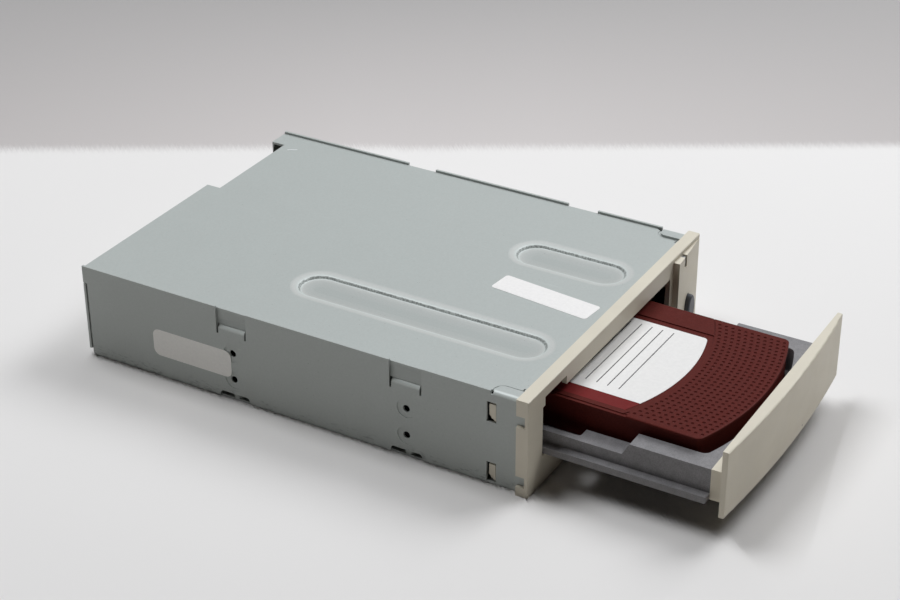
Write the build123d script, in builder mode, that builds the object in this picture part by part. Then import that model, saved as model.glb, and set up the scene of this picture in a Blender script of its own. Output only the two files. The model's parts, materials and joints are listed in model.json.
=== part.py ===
from build123d import *
from math import acos, atan2, cos, degrees, hypot, pi, radians, sin, sqrt
import os

# Internal drive for removable data cartridges, for a half-height 5.25 inch bay, in millimetres.
# +X is right seen from the front, +Y to the rear, +Z up. The origin is the centre of the bottom
# mounting-hole pattern, on the underside. The drawer stands open with a cartridge lying in it.

os.makedirs("parts", exist_ok=True)

# Case; its width of 146.0 follows from what lies side by side in it
left_room = 14.0
right_room = 33.0
case_height = 41.3
case_depth = 199.3
steel = 1.0
bend_radius = 1.4
cover_drop = 0.9
hole_pitch = 79.25
hole_setback = 47.4
hole_radius = 1.5
side_hole_low = 10.0
side_hole_high = 21.84
bottom_hole_inset = 3.15
window_length = 14.0
window_depth = 10.1
curl_radius = 2.2
foot_height = 3.3
rear_wall_drop = 8.0
rear_relief = (1.8, 3.1)
cover_notch_inset = 11.0
cover_notch_width = 49.4
notch_depth = 6.5

# Pressed grooves in the cover: inset from the nearer side, front end, rear end, both behind the bezel.
# A shallow shoulder leads to a steeper wall and a flat bottom.
groove_width = 22.8
groove_depth = 1.4
groove_slope = 0.5
shoulder_width = 3.0
shoulder_depth = 0.4
long_groove = (35.5, 5.0, 119.8)
short_groove = (45.2, 3.9, 57.3)

# Front corner tabs of the pan, bent over dishes in the cover: side, reach inwards, rear end
corner_tabs = ((-1, 5.6, 10.4), (1, 6.2, 9.9))
tab_setback = 0.4
tab_corner = 2.5
tab_bend = 1.9
dish_margin = 1.3
dish_depth = 0.3
relief_width = 1.0
relief_drop = 1.8

# Bezel, its drawer opening with a notch in the lintel, and the control panel to the right of it
bezel_overhang = 1.4
bezel_drop = 0.5
bezel_rise = 0.4
bezel_depth = 5.1
face_thickness = 2.0
rim_width = 2.8
rim_height = 1.7
opening_left_gap = 4.2
opening_right_gap = 6.2
opening_floor_gap = 0.6
opening_roof_gap = 2.7
lintel_notch_inset = 1.7
lintel_notch_width = 17.0
lintel_notch_rise = 3.7
panel_gap = 2.8
panel_rise = 2.7
panel_low = 1.6
panel_margin = 1.7
hook_zones = ((28.6, 35.5), (2.5, 9.2))
hook_seat = 10.9
hook_thickness = 1.3
hook_ramp = 2.3

# Eject button, an upright oval, and the light pipe beside it
button_inset = 12.3
button_z = 14.2
button_width = 6.4
button_height = 11.6
button_gap = 0.3
button_proud = 2.0
button_travel = 0.8
pipe_inset = 7.4
pipe_width = 2.2
pipe_height = 4.2

# Tray
tray_rim = 9.25
tray_low = 13.3
tray_floor_rise = 2.7
tray_floor = 1.6
low_rim_rise = 7.8
high_rim_rise = 12.9
deck_step = -35.2
deck_run = 2.9
tray_front_end = -70.1
tray_rear_end = 36.0
floor_rear_end = 8.0
rail_width = 3.5
rail_height = 2.8
side_window = (-17.0, 22.0)
side_wall = 3.0
tray_wall = 1.6
pocket_margin = 1.25
pocket_front_gap = 2.7

# Drawer front panel
front_left_overhang = 4.8
front_right_overhang = 6.6
front_drop = 2.8
front_height = 28.0
front_edge = 2.1
front_middle = 5.0
front_standoff = 5.7
block_length = 12.5
pinhole_offset = 12.6
pinhole_rise = 2.4
pinhole_radius = 0.45
closed_gap = 0.3

# Cartridge, in its own frame: x across, y from the grip towards the nose
cart_offset = 0.8
cart_setback = 0.2
cart_yaw = -1.1
cart_width = 80.5
cart_length = 92.0
cart_height = 15.0
grip_radius = 110.0
cart_corner = 2.6
lip_height = 1.1
plate_height = 2.2
lip_overhang = 0.6
shell_wall = 1.5
seam_radius = 81.4
label_radius = 79.0
near_band = -36.4
far_band = 28.3
label_span = (-29.5, 25.2)
label_end = 72.0
recess_end = 78.0
recess_depth = 0.4
paper = 0.15
reel_x = 20.0
reel_y = 56.0
full_pack = 17.6
part_pack = 12.5
hub_radius = 8.0
reel_pin = 2.0
tape_low = 19.4
tape_width = 6.3
tape_thickness = 0.25
roller_setback = 8.0
puck_section = 6.5
belt_section = 4.5
roller_pin = 1.5
guide_pin_radius = 1.5
corner_roller = 3.6
corner_x = 33.0
corner_y = 15.0
belt_low = 20.6
belt_height = 3.6
belt_thickness = 0.5
door_left = -36.0
door_right = -9.5
door_thickness = 1.2

# Clearances
running = 0.05
sliding = 0.3

# Loader gears: rack on the right rail, pinion, drive gear, belt gear
rack_module = 0.8
pinion_teeth = 16
pinion_setback = 21.0
train_module = 0.6
drive_teeth = 36
belt_gear_teeth = 12
train_angle = 62.0
pulley_radius = 8.0
motor_pulley_radius = 2.6
motor_inset = 10.6
motor_reach = 35.0
motor_radius = 10.0
loader_belt = 1.2
axle_radius = 1.5

# Boards, connectors and mechanism levels
pin_pitch = 2.54
header_pins = 20
board_low = 4.0
board_thickness = 1.6
plate_low = 6.6
plate_length = 91.0
plate_thickness = 1.2
puck_radius = 9.0
puck_gap = 0.15
rotor_radius = 16.0
stepper_radius = 8.5
stepper_height = 10.5
lead_screw_radius = 1.5
guide_rod_radius = 1.2
head_width = 7.0
head_offset = 3.5
head_reach = 26.0
head_lift = 1.4

# Places that follow from the sizes above
tray_width = cart_width + 2 * tray_rim
case_width = left_room + tray_width + right_room
half_width = case_width / 2
cover_top = case_height - cover_drop
cover_under = cover_top - steel
window_low = case_height - window_depth
rear_wall_top = case_height - rear_wall_drop
tab_low = cover_top - dish_depth
bottom_hole_span = case_width - 2 * bottom_hole_inset
front_y = -(hole_setback + hole_pitch / 2)
rear_y = front_y + case_depth
tray_left = left_room - half_width
tray_right = tray_left + tray_width
tray_centre = (tray_left + tray_right) / 2
rail_left = tray_left - rail_width
rail_right = tray_right + rail_width
low_deck = tray_low + low_rim_rise
high_deck = tray_low + high_rim_rise
cart_x = tray_centre - cart_offset
cart_front = tray_front_end + cart_setback
cart_low = tray_low + tray_floor_rise
cart_top = cart_low + cart_height
top_plate_low = cart_top - plate_height
shell_split = cart_low + cart_height / 2
bezel_front = front_y - bezel_depth
bezel_width = case_width + 2 * bezel_overhang
bezel_low = -bezel_drop
bezel_high = case_height + bezel_rise
opening_left = tray_left - opening_left_gap
opening_right = tray_right + opening_right_gap
opening_low = tray_low - opening_floor_gap
opening_high = cart_top + opening_roof_gap
panel_left = opening_right + panel_gap
panel_high = bezel_high - panel_margin
button_x = panel_left + button_inset
pipe_x = panel_left + pipe_inset
pipe_low = cover_under - 0.1 - pipe_height
front_left = tray_left - front_left_overhang
front_right = tray_right + front_right_overhang
front_low = tray_low - front_drop
front_high = front_low + front_height
panel_rear = front_y + tray_front_end - front_standoff
travel = bezel_front - panel_rear - closed_gap


def behind(distance):
    """The Y of a place that lies this far behind the bezel's rear face."""
    return front_y + distance


def level(z):
    """A horizontal work plane."""
    return Plane.XY.offset(z)


def facing(y):
    """An upright work plane that faces the front."""
    return Plane.XZ.offset(-y)


def beside(x):
    """An upright work plane that faces right."""
    return Plane.YZ.offset(x)


def cart_plane(z):
    """A level work plane in the cartridge's own frame."""
    angle = radians(cart_yaw)
    return Plane(origin=(cart_x, behind(cart_front), z), x_dir=(cos(angle), sin(angle), 0), z_dir=(0, 0, 1))


def in_cart(x, y):
    """Where a place of the cartridge's frame lies in the drive's frame, with the drawer open."""
    angle = radians(cart_yaw)
    across = cart_x + x * cos(angle) - y * sin(angle)
    along = behind(cart_front) + x * sin(angle) + y * cos(angle)
    return across, along


def block(x, y, z, mode=Mode.ADD):
    """A rectangular body between two X, two Y and two Z values."""
    with Locations(((x[0] + x[1]) / 2, (y[0] + y[1]) / 2, (z[0] + z[1]) / 2)):
        Box(x[1] - x[0], y[1] - y[0], z[1] - z[0], mode=mode)


def blocks(places, size, mode=Mode.ADD):
    """Equal rectangular bodies at a list of centres."""
    with Locations(*places):
        Box(*size, mode=mode)


def upright(places, radius, z, mode=Mode.ADD):
    """Upright cylinders at a list of places."""
    with Locations(*[(x, y, z[0]) for x, y in places]):
        Cylinder(radius, z[1] - z[0], align=(Align.CENTER, Align.CENTER, Align.MIN), mode=mode)


def lengthwise(places, radius, y, mode=Mode.ADD):
    """Cylinders along Y at a list of X, Z places."""
    with BuildSketch(facing(y[0])) as ends:
        with Locations(*places):
            Circle(radius)
    extrude(ends.sketch, amount=-(y[1] - y[0]), mode=mode)


def gear_outline(module, teeth, shift=0.0):
    """The corner points of a spur gear with straight-sided teeth, turned by shift teeth."""
    pitch = module * teeth / 2
    rings = ((pitch - 1.2 * module, 0.36), (pitch, 0.24), (pitch + module, 0.11))
    step = 2 * pi / teeth
    points = []
    for tooth in range(teeth):
        middle = (tooth + shift) * step
        for radius, half in rings:
            points.append((radius * cos(middle - half * step), radius * sin(middle - half * step)))
        for radius, half in reversed(rings):
            points.append((radius * cos(middle + half * step), radius * sin(middle + half * step)))
    return points


def tangent_points(first, second):
    """Where a straight belt run leaves one wheel and meets the next.

    A wheel is (x, y, radius, side), with side 1 inside the loop and -1 outside it. The loop runs
    anticlockwise round the wheels that are inside it.
    """
    x0, y0, r0, s0 = first
    x1, y1, r1, s1 = second
    span = hypot(x1 - x0, y1 - y0)
    heading = atan2(y1 - y0, x1 - x0)
    turn = acos((s0 * r0 - s1 * r1) / span)
    normal = heading - turn
    leave = (x0 + s0 * r0 * cos(normal), y0 + s0 * r0 * sin(normal))
    meet = (x1 + s1 * r1 * cos(normal), y1 + s1 * r1 * sin(normal))
    return leave, meet


def belt_loop(wheels, grow):
    """The closed line of a belt surface, with inside wheels grown and outside wheels shrunk."""
    sized = [(x, y, r + s * grow, s) for x, y, r, s in wheels]
    runs = [tangent_points(sized[i], sized[(i + 1) % len(sized)]) for i in range(len(sized))]
    for i, wheel in enumerate(sized):
        x, y, r, s = wheel
        arrive = runs[i - 1][1]
        leave = runs[i][0]
        a0 = atan2(arrive[1] - y, arrive[0] - x)
        a1 = atan2(leave[1] - y, leave[0] - x)
        sweep = (a1 - a0) % (2 * pi) if s > 0 else -((a0 - a1) % (2 * pi))
        middle = a0 + sweep / 2
        ThreePointArc(arrive, (x + r * cos(middle), y + r * sin(middle)), leave)
        Line(*runs[i])


def rear_inner(sketch):
    """The corners at the rear and inner side of the outlines near the front corners of the case."""
    return [v for v in sketch.vertices() if abs(v.X) < half_width - 1 and v.Y > behind(5)]


def pressed_slot(x, start, end, top, grow, mode):
    """A round-ended groove along Y: a shallow shoulder, a steep wall and a flat bottom."""
    inner_width = groove_width - 2 * shoulder_width
    inner_depth = groove_depth - shoulder_depth
    stages = (
        (groove_width, shoulder_width, shoulder_depth, top),
        (inner_width, groove_slope, inner_depth, top - shoulder_depth),
    )
    for wide, slope, depth, z in stages:
        inset = (groove_width - wide) / 2
        with BuildSketch(level(z)) as outline:
            with Locations((x, behind((start + end) / 2))):
                SlotOverall(end - start - 2 * (inset - grow), wide + 2 * grow, rotation=90)
        extrude(outline.sketch, amount=-depth, taper=degrees(atan2(slope, depth)), mode=mode)


def save(builder, name):
    """Label a finished piece and write it."""
    builder.part.label = name
    export_step(builder.part, "parts/" + name + ".step")


# Where the rear connectors lie, which the window in the rear wall follows
header_x = tray_left + 49.0
header_half = header_pins * pin_pitch / 2 + 3.0
power_x = (half_width - 34.5, half_width - 13.5)
socket_window = (header_x - header_half - 7.6, power_x[1] + 0.5)

# Chassis pan: floor, side walls and rear wall folded from one sheet
hole_ys = (behind(hole_setback), behind(hole_setback + hole_pitch))
window_ys = (behind(hole_setback + 0.2), behind(hole_setback + hole_pitch))
with BuildPart() as chassis_pan:
    with BuildSketch(facing(front_y)) as pan_section:
        Rectangle(case_width, case_height, align=(Align.CENTER, Align.MIN))
        fillet(pan_section.vertices().group_by(Axis.Y)[0], bend_radius)
        inside = case_width - 2 * steel
        with Locations((0, steel)):
            Rectangle(inside, case_height, align=(Align.CENTER, Align.MIN), mode=Mode.SUBTRACT)
    extrude(amount=-case_depth)
    # Rear wall, folded up from the floor across the full width, with a gap to each side wall
    gap_y, relief_top = rear_y - rear_relief[0], rear_relief[1]
    for side in (-1, 1):
        wall = sorted((side * (half_width - steel), side * half_width))
        block(wall, (gap_y, rear_y), (relief_top, rear_wall_top + 0.4), mode=Mode.SUBTRACT)
    block((-half_width, half_width), (rear_y - steel, rear_y), (relief_top, rear_wall_top))
    block((-inside / 2, inside / 2), (rear_y - steel, rear_y), (0, relief_top + 0.1))
    for side in (-1, 1):
        corner = sorted((side * (half_width - 1.9), side * half_width))
        block(corner, (gap_y, rear_y), (0, relief_top), mode=Mode.SUBTRACT)
    # Fingers that reach forward into the gaps of the bezel's rim
    for side in (-1, 1):
        wall = sorted((side * (half_width - steel), side * half_width))
        for finger in ((4.2, 8.3), (30.3, 34.5)):
            block(wall, (front_y - 3.5, front_y), finger)
    # Windows for the bezel's hooks and for the cover's seats, through both side walls
    with BuildSketch(beside(-half_width)):
        for low, high in hook_zones:
            with Locations((behind(hook_seat), (low + high) / 2)):
                Rectangle(4.0, high - low + 1.6)
        for y in window_ys:
            with Locations((y, window_low)):
                Rectangle(window_length, case_height - window_low + 1, align=(Align.CENTER, Align.MIN))
            half_slit = window_length / 2 - 0.45
            with Locations((y - half_slit, window_low), (y + half_slit, window_low)):
                Rectangle(0.9, 3.2)
    extrude(amount=case_width, mode=Mode.SUBTRACT)
    # Curled seats below the windows
    for y in window_ys:
        with BuildSketch(facing(y - window_length / 2 + 0.9)) as curl:
            for side in (-1, 1):
                with Locations((side * (half_width - curl_radius), window_low)):
                    Circle(curl_radius)
                    Circle(curl_radius - steel, mode=Mode.SUBTRACT)
                with Locations((side * (half_width - curl_radius), window_low - curl_radius)):
                    Rectangle(3 * curl_radius, 2 * curl_radius, mode=Mode.SUBTRACT)
                with Locations((side * (half_width - 2 * curl_radius), window_low)):
                    Rectangle(2 * curl_radius, 3 * curl_radius, mode=Mode.SUBTRACT)
        extrude(amount=-(window_length - 1.8))
    # Foot cut-outs along the lower edges
    with BuildSketch(beside(-half_width)) as feet:
        for y in window_ys:
            with Locations((y, 0)):
                Rectangle(window_length, 2 * foot_height)
        fillet(feet.vertices().group_by(Axis.Y)[-1], 1.6)
    extrude(amount=steel, mode=Mode.SUBTRACT)
    with BuildSketch(beside(half_width)) as right_feet:
        for y in window_ys:
            with Locations((y, 0)):
                Rectangle(window_length, 2 * foot_height)
        fillet(right_feet.vertices().group_by(Axis.Y)[-1], 1.6)
    extrude(amount=-steel, mode=Mode.SUBTRACT)
    # Side mounting holes, each in a shallow pressed ring
    for depth, radius in ((0.25, 4.0), (3 * steel, hole_radius)):
        for side in (-1, 1):
            with BuildSketch(beside(side * half_width)):
                with Locations(*[(y, z) for y in hole_ys for z in (side_hole_low, side_hole_high)]):
                    Circle(radius)
            extrude(amount=-side * depth, mode=Mode.SUBTRACT)
    # Bottom mounting holes with drawn collars
    bottom_holes = [(side * bottom_hole_span / 2, y) for side in (-1, 1) for y in hole_ys]
    upright(bottom_holes, 2.15, (steel, 3 * steel))
    upright(bottom_holes, hole_radius, (-1, 4 * steel), mode=Mode.SUBTRACT)
    # Connector window in the rear wall
    block(socket_window, (rear_y - 2 * steel, rear_y + 1), (4.6, 16.5), mode=Mode.SUBTRACT)
    # Front corner tabs, bent over the cover, with a relief slot behind each bend
    bend_side = {-1: Align.MIN, 1: Align.MAX}
    with BuildSketch(level(tab_low)) as tabs:
        for side, reach, end in corner_tabs:
            with Locations((side * (half_width - reach / 2), behind((tab_setback + end) / 2))):
                Rectangle(reach, end - tab_setback)
        fillet(rear_inner(tabs), tab_corner)
    extrude(amount=steel)
    for side, reach, end in corner_tabs:
        wall = sorted((side * (half_width - steel), side * half_width))
        slot = (behind(end), behind(end + relief_width))
        block(wall, slot, (case_height - relief_drop, case_height + 1), mode=Mode.SUBTRACT)
        block(wall, (front_y - 1, behind(end)), (tab_low + steel, case_height + 1), mode=Mode.SUBTRACT)
        with BuildSketch(facing(front_y - 1)):
            with Locations((side * half_width, tab_low + steel)):
                Rectangle(2 * tab_bend, 2 * tab_bend)
            with Locations((side * (half_width - tab_bend), tab_low + steel - tab_bend)):
                Circle(tab_bend, mode=Mode.SUBTRACT)
                inward = (bend_side[side], Align.CENTER)
                Rectangle(2 * tab_bend, 4 * tab_bend, align=inward, mode=Mode.SUBTRACT)
                Rectangle(4 * tab_bend, 2 * tab_bend, align=(Align.CENTER, Align.MAX), mode=Mode.SUBTRACT)
        extrude(amount=-(end + 1), mode=Mode.SUBTRACT)
save(chassis_pan, "chassis_pan")

# Top cover: a lid with pressed grooves, dropped between the side walls
cover_half = half_width - steel - 0.1
notch_right = half_width - cover_notch_inset
notch_left = notch_right - cover_notch_width
with BuildPart() as top_cover:
    with BuildSketch(level(cover_under)) as lid:
        with Locations((0, behind(0.3))):
            Rectangle(2 * cover_half, case_depth - 0.3, align=(Align.CENTER, Align.MIN))
        with Locations((notch_left, rear_y - notch_depth)):
            Rectangle(cover_notch_width, notch_depth, align=(Align.MIN, Align.MIN), mode=Mode.SUBTRACT)
    extrude(amount=steel)
    for side in (-1, 1):
        flange = sorted((side * (cover_half - steel), side * cover_half))
        block(flange, (behind(14.5), rear_y - 0.4), (window_low + curl_radius, cover_top))
    for span in ((-cover_half, notch_left), (notch_right, cover_half)):
        block(span, (rear_y - steel, rear_y), (rear_wall_top + 0.2, cover_top))
    # The grooves are pressed down: the underside bulges by as much as the top is hollowed
    for side, groove in ((-1, long_groove), (1, short_groove)):
        x = side * (half_width - groove[0])
        pressed_slot(x, *groove[1:], cover_under, 0.7, Mode.ADD)
        pressed_slot(x, *groove[1:], cover_top, 0.0, Mode.SUBTRACT)
    # Dishes for the pan's corner tabs, with a notch at the relief slot and a nick beside the bezel
    with BuildSketch(level(cover_top)) as dishes:
        for side, reach, end in corner_tabs:
            wide = reach + dish_margin
            with Locations((side * (half_width - wide / 2), behind((end + dish_margin) / 2))):
                Rectangle(wide, end + dish_margin)
        fillet(rear_inner(dishes), tab_corner + dish_margin)
    extrude(amount=-dish_depth, mode=Mode.SUBTRACT)
    with BuildSketch(level(cover_under)):
        for side, reach, end in corner_tabs:
            with BuildLine():
                rim = side * half_width
                Polyline(
                    (rim, behind(end)),
                    (rim, behind(end + 3.4)),
                    (side * (half_width - steel), behind(end + 3.4)),
                    (side * (half_width - 2.8), behind(end)),
                    close=True,
                )
            make_face()
            with Locations((side * (half_width - reach - 1.7), behind(1.5))):
                Rectangle(2.0, 0.6)
    extrude(amount=2 * steel, mode=Mode.SUBTRACT)
save(top_cover, "top_cover")

# Front bezel: a shallow moulded frame with a raised control panel and snap hooks
boss_places = [(panel_left + 2.5, 29.5), (panel_left + 18.0, 26.5)]
board_y = behind(6.4)
bezel_middle = (bezel_low + bezel_high) / 2
with BuildPart() as front_bezel:
    with BuildSketch(facing(bezel_front)):
        with Locations((0, bezel_middle)):
            Rectangle(bezel_width, bezel_high - bezel_low)
    extrude(amount=-bezel_depth)
    fillet(front_bezel.faces().sort_by(Axis.Y)[0].edges(), 0.5)
    half_inside = bezel_width / 2 - rim_width
    inside_z = (bezel_low + rim_height, bezel_high - rim_height)
    face_rear = bezel_front + face_thickness
    block((-half_inside, half_inside), (face_rear, front_y + 1), inside_z, mode=Mode.SUBTRACT)
    # The control panel swells forward and fades out towards the right edge
    with BuildSketch(level(panel_low)):
        with BuildLine():
            right_end = bezel_width / 2 - 0.3
            crest = bezel_front - panel_rise
            Polyline((right_end, bezel_front + 0.4), (panel_left, bezel_front + 0.4), (panel_left, crest))
            swell = (0.45 * right_end + 0.55 * panel_left, bezel_front - 0.63 * panel_rise)
            ThreePointArc((panel_left, crest), swell, (right_end, bezel_front))
            Line((right_end, bezel_front), (right_end, bezel_front + 0.4))
        make_face()
    extrude(amount=panel_high - panel_low)
    # Drawer opening with the raised notch at its upper left
    with BuildSketch(facing(bezel_front - 1)) as mouth:
        with Locations(((opening_left + opening_right) / 2, (opening_low + opening_high) / 2)):
            Rectangle(opening_right - opening_left, opening_high - opening_low)
        with Locations((opening_left + lintel_notch_inset, opening_high + lintel_notch_rise)):
            Rectangle(lintel_notch_width, lintel_notch_rise + 2, align=(Align.MIN, Align.MAX))
    extrude(amount=-(face_thickness + 2), mode=Mode.SUBTRACT)
    # Gaps in the side rims, where the case's fingers reach through
    for side in (-1, 1):
        rim = sorted((side * (half_inside - 0.2), side * bezel_width))
        for gap in ((3.9, 8.6), (30.0, 34.8)):
            block(rim, (front_y - 3.6, front_y + 0.1), gap, mode=Mode.SUBTRACT)
    # Snap hooks inside the side walls, with noses in the windows
    for side in (-1, 1):
        for low, high in hook_zones:
            hook_face = half_width - steel - 0.1
            arm = sorted((side * (hook_face - hook_thickness), side * hook_face))
            block(arm, (front_y - 3.4, behind(hook_seat + 0.6)), (low, high))
            with BuildSketch(beside(side * (hook_face - hook_thickness))):
                with BuildLine():
                    nose_y = (behind(hook_seat - 1.8), behind(hook_seat + 0.9))
                    Polyline(
                        (nose_y[0], low),
                        (nose_y[0], high),
                        (nose_y[1], high),
                        (nose_y[1], low + hook_ramp),
                        (nose_y[1] - hook_ramp, low),
                        close=True,
                    )
                make_face()
            extrude(amount=side * (half_width - 0.1 - hook_face + hook_thickness))
    # Bosses that carry the front board
    lengthwise(boss_places, 2.2, (bezel_front + face_thickness / 2, board_y))
    lengthwise(boss_places, 0.9, (board_y - 6, board_y + 1), mode=Mode.SUBTRACT)
    # Oval hole for the button and slot for the light pipe
    with BuildSketch(facing(bezel_front - 5)):
        with Locations((button_x, button_z)):
            Ellipse(button_width / 2 + button_gap, button_height / 2 + button_gap)
        with Locations((pipe_x, pipe_low + pipe_height / 2)):
            Rectangle(pipe_width + 0.3, pipe_height + 0.3)
    extrude(amount=-(face_thickness + 5.5), mode=Mode.SUBTRACT)
    # The slot is open at the top of the raised panel
    slot_half = pipe_width / 2 + 0.15
    slot_span = (pipe_x - slot_half, pipe_x + slot_half)
    block(slot_span, (bezel_front - 5, bezel_front), (pipe_low, bezel_high), mode=Mode.SUBTRACT)
save(front_bezel, "front_bezel")

# Light pipe from the lamp to the slot in the control panel
lamp_y = board_y - 2.2
with BuildPart() as light_pipe:
    with BuildSketch(facing(bezel_front - 1.5)) as pipe_end:
        with Locations((pipe_x, pipe_low)):
            Rectangle(pipe_width, pipe_height, align=(Align.CENTER, Align.MIN))
        fillet(pipe_end.vertices().group_by(Axis.Y)[0], 0.9)
    extrude(amount=-(lamp_y - bezel_front + 1.3))
    collar_y = (bezel_front + face_thickness, bezel_front + face_thickness + 1.2)
    block((pipe_x - 2.2, pipe_x + 2.2), collar_y, (pipe_low - 1.0, pipe_low + pipe_height))
save(light_pipe, "light_pipe")

# Eject button: an oval cap with a flange behind the bezel and a stem to the switch
button_face = bezel_front - 1.9 - button_proud
stem_end = board_y - 4.6
with BuildPart() as eject_button:
    with BuildSketch(facing(button_face)):
        with Locations((button_x, button_z)):
            Ellipse(button_width / 2, button_height / 2)
    extrude(amount=-(bezel_front + face_thickness + 0.3 - button_face))
    fillet(eject_button.faces().sort_by(Axis.Y)[0].edges(), 0.9)
    with BuildSketch(facing(bezel_front + face_thickness + 0.3)):
        with Locations((button_x, button_z)):
            Ellipse(button_width / 2 + 1.2, button_height / 2 + 1.2)
    extrude(amount=-1.2)
    lengthwise([(button_x, button_z)], 1.5, (bezel_front + face_thickness + 1.0, stem_end))
save(eject_button, "eject_button")

# Eject switch: a square body on the front board, and the plunger that the stem presses
with BuildPart() as eject_switch:
    block((button_x - 3, button_x + 3), (board_y - 3.6, board_y), (button_z - 3, button_z + 3))
    lengthwise([(button_x, button_z)], 1.6 + running, (board_y - 4, board_y - 0.8), mode=Mode.SUBTRACT)
save(eject_switch, "eject_switch")

with BuildPart() as switch_plunger:
    lengthwise([(button_x, button_z)], 1.6, (stem_end, board_y - 0.8 - button_travel - 0.2))
save(switch_plunger, "switch_plunger")

# Front board with its two screws and the status lamp
with BuildPart() as front_board:
    block((panel_left - 0.8, panel_left + 20.8), (board_y, board_y + 1.6), (6.2, cover_under - 0.2))
    lengthwise(boss_places, 1.1, (board_y - 1, board_y + 3), mode=Mode.SUBTRACT)
    block((panel_left + 13.5, panel_left + 17.5), (board_y + 1.6, board_y + 5.0), (10.2, 22.2))
save(front_board, "front_board")

with BuildPart() as front_board_screws:
    lengthwise(boss_places, 2.0, (board_y + 1.6, board_y + 2.8))
    lengthwise(boss_places, 0.85, (board_y - 5, board_y + 2.0))
    for x, z in boss_places:
        block((x - 1.3, x + 1.3), (board_y + 2.3, board_y + 3), (z - 0.25, z + 0.25), mode=Mode.SUBTRACT)
save(front_board_screws, "front_board_screws")

with BuildPart() as status_lamp:
    block((pipe_x - 1.3, pipe_x + 1.3), (lamp_y + 0.3, board_y), (pipe_low + 0.9, pipe_low + 3.3))
save(status_lamp, "status_lamp")

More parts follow.
